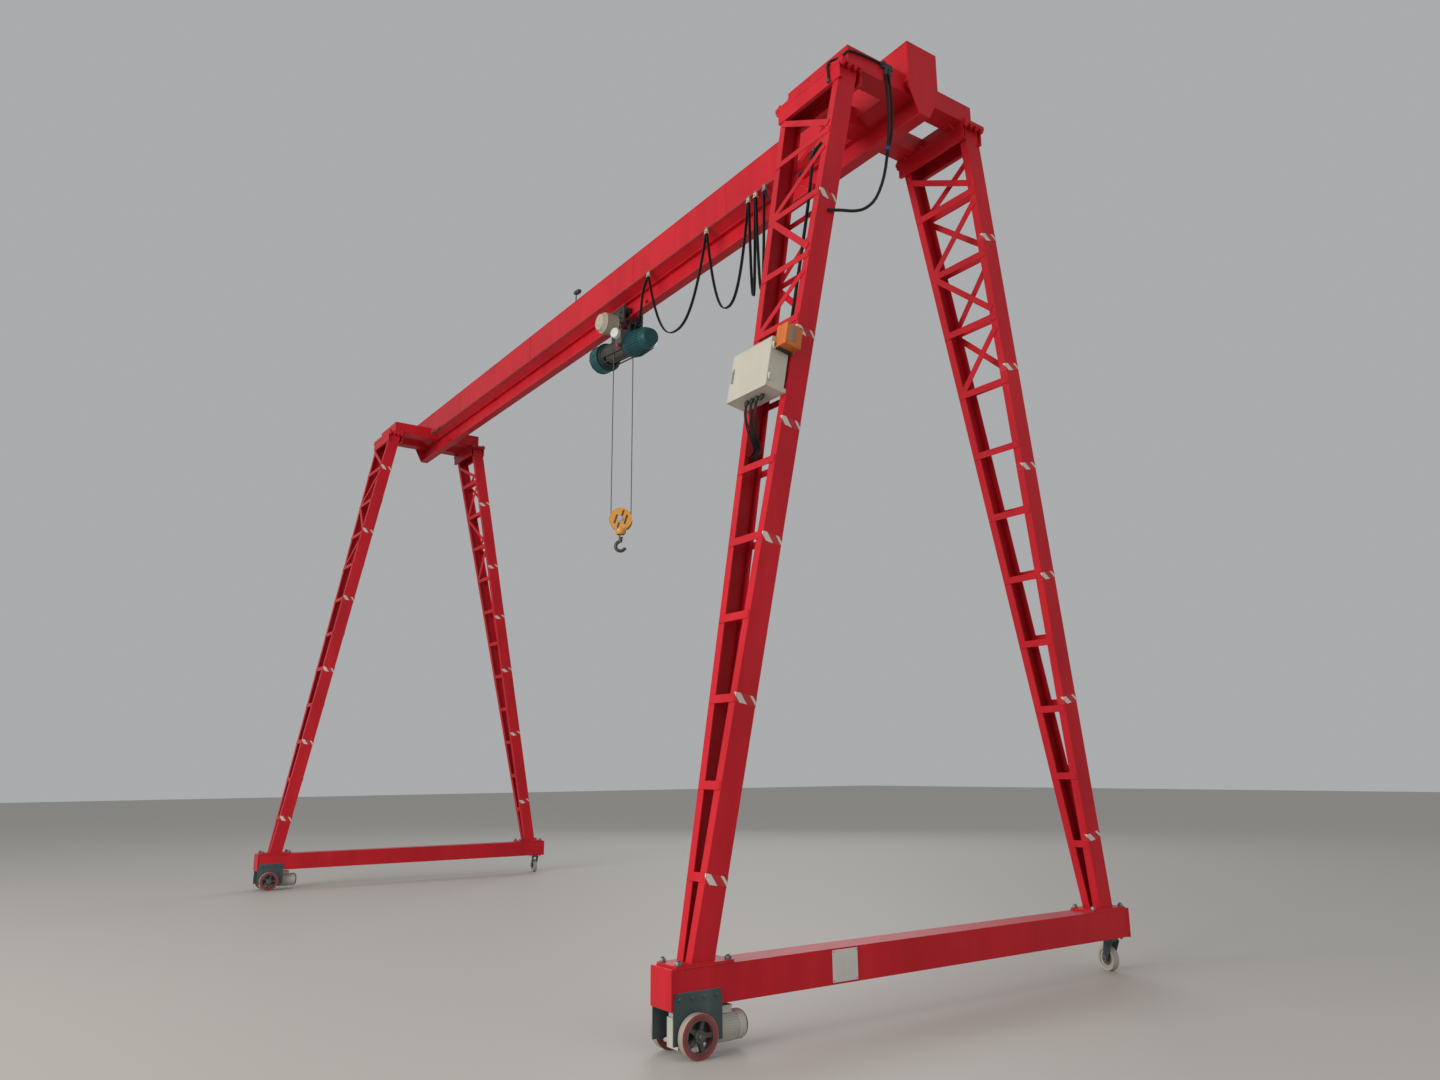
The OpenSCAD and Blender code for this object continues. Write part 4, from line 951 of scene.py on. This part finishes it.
CABINET_W, CABINET_H, CABINET_D, DOOR_T = 0.430, 0.355, 0.140, 0.014
CABINET_S = (3.990 - LEG_BOTTOM) / math.cos(lean[-1])
CABINET_BACK = 0.0206
CABINET = material("cabinet_enamel", (0.50, 0.475, 0.40), (0.42, 0.40, 0.33),
                   dust=0.12, wear=0.08, rough=0.42)
ORANGE = material("orange_plastic", (0.62, 0.150, 0.014), dust=0.2, wear=0.0, rough=0.5)
HANDLE = material("handle_grey", (0.29, 0.30, 0.26), dust=0.1, wear=0.0, rough=0.5)
GREY_PLATE = material("grey_plate", (0.27, 0.19, 0.14), dust=0.2, wear=0.1, rough=0.45)
paint(CABINET, "cabinet_body", "cabinet_door")
paint(ORANGE, "radio_receiver")
cabinet = leg_frame(1, -1) @ moved((0, -LEG_D / 2 - CABINET_BACK, CABINET_S)) @ Matrix.Diagonal((1, -1, 1, 1))
half_w, half_h = CABINET_W / 2, CABINET_H / 2

# Door: a black seal in the joint, a raised rim and a handle with a lock
seal_y, rim_y = CABINET_D - DOOR_T + 0.0004, CABINET_D + 0.0004
seal, rim = bmesh.new(), bmesh.new()
for side in (-1, 1):
    add_block(seal, (CABINET_W - 0.002, 0.0020, 0.004),
              cabinet @ moved((0, seal_y, side * (half_h - 0.003))), 0.0004, 1)
    add_block(seal, (0.004, 0.0020, CABINET_H - 0.008),
              cabinet @ moved((side * (half_w - 0.003), seal_y, 0)), 0.0004, 1)
    add_block(rim, (CABINET_W, 0.0030, 0.0040), cabinet @ moved((0, rim_y, side * (half_h - 0.002))), 0.0014)
    add_block(rim, (0.0040, 0.0030, CABINET_H), cabinet @ moved((side * (half_w - 0.002), rim_y, 0)), 0.0014)
add_block(rim, (0.0160, 0.0020, CABINET_H - 0.010), cabinet @ moved((half_w - 0.014, rim_y, 0)), 0.0009)
as_piece("cabinet_seal", seal, BLACK, "door")
HANDLE_X, HANDLE_Z = -half_w + 0.031, 0.016
bm = bmesh.new()
add_block(bm, (0.020, 0.0030, 0.112), cabinet @ moved((HANDLE_X, CABINET_D + 0.0010, HANDLE_Z)), 0.0012)
add_block(bm, (0.0155, 0.0100, 0.062), cabinet @ moved((HANDLE_X, CABINET_D + 0.0050, HANDLE_Z)), 0.003)
add_rod(bm, 0.0085, 0.002, 0.009, cabinet @ aimed((HANDLE_X, CABINET_D, -0.032), (0, 1, 0)))
as_piece("cabinet_handle", bm, HANDLE, "door")
as_piece("cabinet_door_rim", rim, CABINET, "door")

# Body: a drip edge along the top, and eight glands below with six cables
bm = bmesh.new()
add_block(bm, (CABINET_W + 0.006, CABINET_D - DOOR_T + 0.001, 0.003),
          cabinet @ moved((0, (CABINET_D - DOOR_T) / 2, half_h + 0.0012)), 0.0012)
as_piece("cabinet_top_edge", bm, CABINET, "frame")
GLANDS = [(-0.095 + 0.027 * i, 0.063 + 0.010 * (i % 2)) for i in range(8)]
GLAND = [(0, -0.034), (0.0052, -0.034), (0.0112, -0.0265), (0.0112, -0.008), (0, -0.008)]
glands = bmesh.new()
for x, y in GLANDS:
    place = cabinet @ moved((x, y, -half_h))
    hexagon(glands, 0.0235, 0.0005, -0.0090, place)
    add_lathe(glands, GLAND, place, 20)
as_piece("cabinet_glands", glands, BLACK, "frame")
leg = leg_frame(1, -1)
for k, (x, y) in enumerate(GLANDS[:6]):
    s, out = CABINET_S - half_h, -(LEG_D / 2 + CABINET_BACK + y)
    route = [(x, out, s - 0.033), (x, out, s - 0.085), (x * 0.9 - 0.010, out + 0.020, s - 0.140),
             (x * 0.72 - 0.035, -0.105, s - 0.195), (x * 0.5 - 0.070, -0.055, s - 0.240),
             (x * 0.3 - 0.112, -0.012 + 0.004 * k, s - 0.275),
             (x * 0.12 - 0.160, 0.010 * (k % 3), s - 0.300 - 0.008 * k),
             (-0.1985, 0.012 * (k % 3), s - 0.312 - 0.012 * k)]
    round_cable(f"cabinet_cable_{k + 1}", [leg @ Vector(p) for p in route], 0.010)

# Receiver: an orange case with a bare plate on its outer side, on a black back
RX, RY, RZ = half_w + 0.0353 + 0.036, 0.0555, 0.177
bm = bmesh.new()
for k in (-1, 1):
    add_block(bm, (0.0735, 0.1140, 0.012), cabinet @ moved((RX + 0.0005, RY, RZ + k * 0.071)), 0.004, 3)
    add_block(bm, (0.0735, 0.0100, 0.154), cabinet @ moved((RX + 0.0005, RY + k * 0.0535, RZ)), 0.004, 3)
as_piece("receiver_edges", bm, ORANGE, "frame")
bm = bmesh.new()
add_block(bm, (0.002, 0.052, 0.100), cabinet @ moved((RX + 0.0370, 0.062, RZ + 0.006)), 0.0008)
as_piece("receiver_plate", bm, GREY_PLATE, "frame")
bm = bmesh.new()
add_block(bm, (0.0352, 0.118, 0.168), cabinet @ moved((half_w + 0.0180, 0.052, RZ)), 0.004, 3)
for dy in (-0.046, 0.046):
    for dz in (-0.066, 0.066):
        add_rod(bm, 0.0032, 0, 0.0025, cabinet @ aimed((RX + 0.0368, RY + dy, RZ + dz), (1, 0, 0)), 12)
as_piece("receiver_back", bm, BLACK, "frame")

# Trolley: two dark side plates with four flanged wheels, drawn together by cross bars.
# A cream travel motor is bolted to its outer side.

HOIST_X, SIDE_Y = 0.9, 0.112
DARK = material("trolley_enamel", (0.034, 0.032, 0.029), dust=0.12, wear=0.4, rough=0.5)
CREAM = material("cream_enamel", (0.47, 0.42, 0.33), dust=0.15, wear=0.25, rough=0.45)
paint(DARK, "trolley_frame", "trolley_wheels")
paint(CREAM, "travel_motor")
AXLE_Z, BAR_Z, SCREW_Z, STIFFENER_Z = 6.3173, 6.195, 6.350, 6.366
bm = bmesh.new()
for side in (-1, 1):
    for x in (-0.130, 0.130):
        place = aimed((HOIST_X + x, side * 0.1179, AXLE_Z), (0, side, 0))
        add_rod(bm, 0.020, -0.005, 0.0015, place)
        hexagon(bm, 0.030, 0.0015, 0.013, place)
    for x in (-0.165, 0.165):
        place = aimed((HOIST_X + x, side * 0.1239, BAR_Z), (0, side, 0))
        hexagon(bm, 0.042, -0.011, 0.006, place)
        add_rod(bm, 0.0125, 0.005, 0.014, place)
    for x in (-0.06, 0.0, 0.06):
        hexagon(bm, 0.019, 0, 0.010, aimed((HOIST_X + x, side * SIDE_Y, SCREW_Z), (0, side, 0)))
as_piece("trolley_nuts", bm, BOLT, "trolley")
bm = bmesh.new()
for side in (-1, 1):
    add_block(bm, (0.420, 0.010, 0.012), moved((HOIST_X, side * (SIDE_Y - 0.001), STIFFENER_Z)), 0.003)
    for dx in (-0.202, 0.202):
        add_block(bm, (0.014, 0.016, 0.150), moved((HOIST_X + dx, side * SIDE_Y, 6.270)), 0.003)
as_piece("trolley_stiffeners", bm, DARK, "trolley")

motor = aimed((HOIST_X + 0.050, -0.1123, 6.170), (0, -1, 0))
RIB, RIBS = fin_template("travel_motor_rib", (0.0035, 0.0100, 0.118), 0.001), 32
spots = []
for k in range(RIBS):
    a = 360 * k / RIBS
    spots.append(motor @ moved(polar(0.1105, a, 0.105), (0, 0, a + 90)))
repeat("travel_motor_ribs", RIB, spots, CREAM, "trolley")
bm = bmesh.new()
add_ring(bm, 0.060, 0.092, 0.0005, 0.012, motor, 40, 0.002)
add_ring(bm, 0.070, 0.1125, 0.034, 0.044, motor, 48, 0.002)
add_ring(bm, 0.100, 0.1130, 0.166, 0.177, motor, 48, 0.002)
add_lathe(bm, [(0, 0.2190), (0.040, 0.2190), (0.046, 0.2255), (0.055, 0.2255), (0.060, 0.2205),
               (0.0855, 0.2205), (0.0865, 0.216), (0.0845, 0.210)], motor, 40)
as_piece("travel_motor_rims", bm, CREAM, "trolley")
spots = []
for k in range(8):
    for r, z in ((0.082, 0.012), (0.098, 0.1765)):
        spots.append(motor @ moved(polar(r, 45 * k + 22, z)))
repeat("travel_motor_bolts", BOLT_6, spots, BOLT, "trolley", twist=180, seed=7)

# Hoist: a rope drum in a dark casing between a teal gearbox and a teal cone motor.
# The rope lies on the drum in one layer and shows through the slot below.

DRUM_Z, TILT = 5.945, 5
TEAL = material("teal_enamel", (0.008, 0.070, 0.082), (0.005, 0.046, 0.054),
                dust=0.02, wear=0.2, rough=0.38, shine=0.35)
DRUM = material("drum_enamel", (0.032, 0.033, 0.034), dust=0.10, wear=0.25, rough=0.5)
ROPE = material("wire_rope", (0.12, 0.105, 0.090), dust=0.05, wear=0.0, rough=0.5, metal=0.6)
paint(TEAL, "hoist_gearbox", "hoist_motor")
paint(DRUM, "drum_casing")
hoist = moved((HOIST_X, 0, DRUM_Z)) @ Matrix.Rotation(math.radians(90 + TILT), 4, "Y")
DRUM_FROM, DRUM_TO, DRUM_R, GEAR_R = -0.340, 0.200, 0.110, 0.155
CONE = math.degrees(math.atan(0.025 / 0.290))

bm = bmesh.new()
for z0, z1 in ((DRUM_FROM, DRUM_FROM + 0.016), (DRUM_TO - 0.016, DRUM_TO)):
    add_ring(bm, DRUM_R - 0.002, DRUM_R + 0.016, z0, z1, hoist, 48, 0.002)
for a in (40, 140, 220, 320):
    add_rod(bm, 0.008, DRUM_FROM + 0.012, DRUM_TO - 0.012, hoist @ moved(polar(0.117, a + 180, 0)), 14)
for side in (-1, 1):
    add_block(bm, (0.012, 0.006, 0.400), hoist @ moved((0.040, side * 0.1025, -0.070)), 0.002)
as_piece("casing_rims", bm, DRUM, "trolley")

# Rope: one layer of turns on the drum
TURNS, TURN_PITCH, TURN_R, STRAND_R, TURN_STEPS = 30, 0.0125, 0.0855, 0.0054, 20
rings = []
bm = bmesh.new()
for k in range(TURNS * TURN_STEPS + 1):
    a = 2 * math.pi * k / TURN_STEPS
    out = Vector((math.cos(a), math.sin(a), 0))
    at = TURN_R * out + Vector((0, 0, -0.262 + TURN_PITCH * k / TURN_STEPS))
    rings.append([bm.verts.new(hoist @ (at + out * (STRAND_R * math.cos(b)) + Vector((0, 0, STRAND_R * math.sin(b)))))
                  for b in (2 * math.pi * q / 6 for q in range(6))])
join_rings(bm, rings)
as_piece("rope_on_drum", bm, ROPE, "trolley")

COOLING, COOLING_RIBS = fin_template("hoist_motor_rib", (0.0040, 0.0120, 0.240), 0.0012), 28
spots = []
for k in range(COOLING_RIBS):
    rib = moved((0.1305, 0, DRUM_TO + 0.169), (0, -CONE, 0)) @ Matrix.Rotation(math.radians(90), 4, "Z")
    spots.append(hoist @ moved((0, 0, 0), (0, 0, 360 * k / COOLING_RIBS)) @ rib)
repeat("hoist_motor_ribs", COOLING, spots, TEAL, "trolley")
bm = bmesh.new()
GEAR_RINGS, REAR = ((-0.356, -0.3405), (-0.4920, -0.4760)), DRUM_TO + 0.314
GEAR_LID = [(0.113, -0.5265), (0.109, -0.5310), (0.090, -0.5320), (0.084, -0.5400), (0.052, -0.5420),
            (0.046, -0.5360), (0, -0.5355)]
BRAKE_HOOD = [(0.108, -0.030), (0.1180, -0.030), (0.1175, 0.001), (0.0885, 0.0655), (0.070, 0.0680), (0.062, 0.0680),
              (0.060, 0.0640), (0.048, 0.0640), (0.046, 0.0680), (0, 0.0690)]
add_ring(bm, 0.105, 0.134, DRUM_TO + 0.0005, DRUM_TO + 0.020, hoist, 48, 0.003)
for z0, z1 in GEAR_RINGS:
    add_ring(bm, 0.110, GEAR_R + 0.004, z0, z1, hoist, 56, 0.003)
add_lathe(bm, GEAR_LID, hoist, 48)
for a in range(18, 360, 36):
    add_block(bm, (0.010, 0.014, 0.116), hoist @ moved(polar(0.1555, a, -0.416), (0, 0, a)), 0.003)
as_piece("hoist_castings", bm, TEAL, "trolley")
spots = []
for k in range(12):
    spots.append(hoist @ moved(polar(0.1475, 30 * k + 15, -0.4905), (180, 0, 0)))
    if k % 2:
        spots.append(hoist @ moved(polar(0.125, 30 * k + 15, DRUM_TO - 0.016), (180, 0, 0)))
for k in range(6):
    spots.append(hoist @ moved(polar(0.0675, 60 * k, -0.5410), (180, 0, 0)))
repeat("hoist_bolts", BOLT_12, spots, BOLT, "trolley", twist=180, seed=8)
# The motor's rear hood over its brake
bm = bmesh.new()
add_lathe(bm, [(r, REAR + z) for r, z in BRAKE_HOOD], hoist, 48)
as_piece("brake_hood", bm, TEAL, "trolley")

# A grey control box with a round cover beside the casing, and a red pull tag below
BOX_GREY = material("box_enamel", (0.075, 0.072, 0.065), dust=0.3, wear=0.1, rough=0.5)
BOX_X, BOX_MID = HOIST_X + 0.190, 5.985
bm = bmesh.new()
add_block(bm, (0.130, 0.070, 0.150), moved((BOX_X, -0.137, BOX_MID)), 0.006, 3)
add_block(bm, (0.136, 0.006, 0.156), moved((BOX_X, -0.174, BOX_MID)), 0.002)
for dx in (-0.05, 0.05):
    for dz in (-0.06, 0.06):
        add_rod(bm, 0.005, 0, 0.004, aimed((BOX_X + dx, -0.177, BOX_MID + dz), (0, -1, 0)), 12)
as_piece("hoist_control_box", bm, BOX_GREY, "trolley")
bm = bmesh.new()
add_lathe(bm, [(0, 0.0), (0.0565, 0.0), (0.0565, 0.062), (0.0520, 0.0700), (0.030, 0.0730), (0, 0.0740)],
          aimed((HOIST_X + 0.185, -0.1700, 6.015), (0.35, -0.94, 0)), 40)
as_piece("round_cover", bm, WHITE, "trolley")
bm = bmesh.new()
add_block(bm, (0.034, 0.016, 0.060), moved((HOIST_X + 0.165, -0.168, 5.905), (0, 12, 0)), 0.004)
as_piece("pull_tag", bm, RED, "trolley")

# Rope falls: two runs of six-strand wire rope between drum and block. The strands
# are laid right-handed and keep their twist over the whole height.

FALL_GAP, FALL_TURN, PULLEY_Z = 0.210, 55, 4.04
LAY, ROPE_R, SIDES, RING_STEP = 0.075, 0.0055, 18, 0.0075
height = DRUM_Z - PULLEY_Z
count = int(height / RING_STEP)
bm = bmesh.new()
for side in (-1, 1):
    foot = Vector((HOIST_X, 0, PULLEY_Z)) + Vector(polar(side * FALL_GAP / 2, FALL_TURN, 0))
    rings = []
    for k in range(count + 1):
        z = height * k / count
        phase = 2 * math.pi * z / LAY
        ring = []
        for q in range(SIDES):
            b = 2 * math.pi * q / SIDES
            r = ROPE_R * (0.88 + 0.12 * math.cos(6 * (b - phase)))
            ring.append(bm.verts.new(foot + Vector((r * math.cos(b), r * math.sin(b), z))))
        rings.append(ring)
    join_rings(bm, rings)
strands = as_piece("rope_strands", bm, ROPE, sharp=80)
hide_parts("rope_falls")
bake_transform(strands)

# Hook block: two yellow cheeks with slots, a pulley between them, and a forged hook
# that swivels in a crosshead and has a sprung latch.

YELLOW = material("yellow_enamel", (0.60, 0.270, 0.030), (0.44, 0.180, 0.020),
                  dust=0.10, wear=0.35, rough=0.42)
HOOK = material("hook_steel", (0.040, 0.040, 0.040), dust=0.2, wear=0.3, rough=0.45, metal=0.5)
paint(YELLOW, "hook_block")
paint(HOOK, "hook")
block = moved((HOIST_X, 0, PULLEY_Z), (0, 0, FALL_TURN))
SLOTS = ((-0.050, 0.000, 0.100), (0.024, 0.062, 0.070), (-0.022, -0.066, 0.060), (0.056, -0.006, 0.100))
slot_shade, pins = bmesh.new(), bmesh.new()
for side in (-1, 1):
    face = block @ aimed((0, side * 0.0462, 0), (0, side, 0))
    # The slots are not cut: thin black plates on each cheek paint the shade seen inside the openings
    for dx, dz, tall in SLOTS:
        add_block(slot_shade, (0.020, 0.0018, tall), block @ moved((dx, side * 0.0462, dz), (0, 17, 0)), 0.0008, 1)
    add_ring(pins, 0.010, 0.034, -0.0010, 0.0045, face, 36, 0.001)
    hexagon(pins, 0.036, 0.0035, 0.0165, face)
    for dx in (-0.042, 0.042):
        hexagon(pins, 0.017, -0.001, 0.010, block @ aimed((dx, side * 0.0460, -0.095), (0, side, 0)))
as_piece("block_slots", slot_shade, BLACK, "block")
as_piece("block_pins", pins, STEEL, "block")
RIM = [(0.1135, -0.0010), (0.1150, 0.0022), (0.1185, 0.0022), (0.1200, -0.0010), (0.1135, -0.0010)]
NECK = [(0.0560, -0.098), (0.0600, -0.112), (0.0520, -0.145), (0.0430, -0.158), (0.0350, -0.158), (0.0350, -0.098),
        (0.0560, -0.098)]
COLLAR = [(0.0205, -0.026), (0.0260, -0.024), (0.0300, -0.006), (0.0300, -0.0012), (0.0200, -0.0012),
          (0.0205, -0.026)]
bm = bmesh.new()
for side in (-1, 1):
    add_lathe(bm, RIM, block @ aimed((0, side * 0.0458, 0), (0, side, 0)), 56)
add_lathe(bm, NECK, moved((HOIST_X, 0, PULLEY_Z)), 36)
as_piece("block_rims", bm, YELLOW, "block")
hook_top = PULLEY_Z - 0.115
bm = bmesh.new()
add_lathe(bm, COLLAR, moved((HOIST_X, 0, hook_top)), 32)
latch = moved((HOIST_X, 0, hook_top), (0, 0, FALL_TURN))
add_block(bm, (0.0032, 0.022, 0.086), latch @ moved((0.040, 0, -0.094), (0, -38, 0)), 0.0012)
for side in (-1, 1):
    add_block(bm, (0.020, 0.003, 0.022), latch @ moved((0.016, side * 0.0205, -0.062)), 0.001)
add_rod(bm, 0.0035, -0.024, 0.024, latch @ aimed((0.016, 0, -0.062), (0, 1, 0)), 14)
as_piece("hook_latch", bm, STEEL, "hook")

# Floor and light: a pale floor under a plain bright room, with one large soft lamp
# from the open side and two weak ones.

floor_mesh = bpy.data.meshes.new("floor")
floor_mesh.from_pydata([(-60, -60, 0), (60, -60, 0), (60, 60, 0), (-60, 60, 0)], [], [(0, 1, 2, 3)])
floor = bpy.data.objects.new("floor", floor_mesh)
floor_look = bpy.data.materials.new("floor_pale")
floor_look.use_nodes = True
floor_shader = floor_look.node_tree.nodes["Principled BSDF"].inputs
floor_shader["Base Color"].default_value = (0.50, 0.475, 0.44, 1)
floor_shader["Roughness"].default_value = 0.6
floor_mesh.materials.append(floor_look)
scene.collection.objects.link(floor)

world = bpy.data.worlds.new("studio")
world.use_nodes = True
sky = world.node_tree.nodes["Background"].inputs
sky["Color"].default_value = (0.80, 0.82, 0.83, 1)
sky["Strength"].default_value = 0.50
scene.world = world


def soft_light(name, at, target, size, power, colour):
    data = bpy.data.lights.new(name, "AREA")
    data.shape = "RECTANGLE"
    data.size, data.size_y = size
    data.energy = power
    data.color = colour
    o = bpy.data.objects.new(name, data)
    scene.collection.objects.link(o)
    way = Vector(target) - Vector(at)
    o.matrix_world = Matrix.Translation(at) @ way.to_track_quat("-Z", "Y").to_matrix().to_4x4()


soft_light("key", (4.0, -17.5, 6.5), (0.8, 0.0, 3.8), (12, 9), 2700, (1.0, 0.98, 0.96))
soft_light("fill", (14.5, -1.0, 5.0), (2.0, 0.0, 3.5), (6, 5), 210, (1.0, 0.98, 0.96))
soft_light("back", (-9.0, 10.0, 9.0), (0.0, 0.0, 4.0), (8, 5), 400, (0.97, 0.98, 1.0))
scene.view_settings.view_transform = "Standard"

# The patterns of the repeats go

for pattern in TEMPLATES:
    bpy.data.objects.remove(pattern)
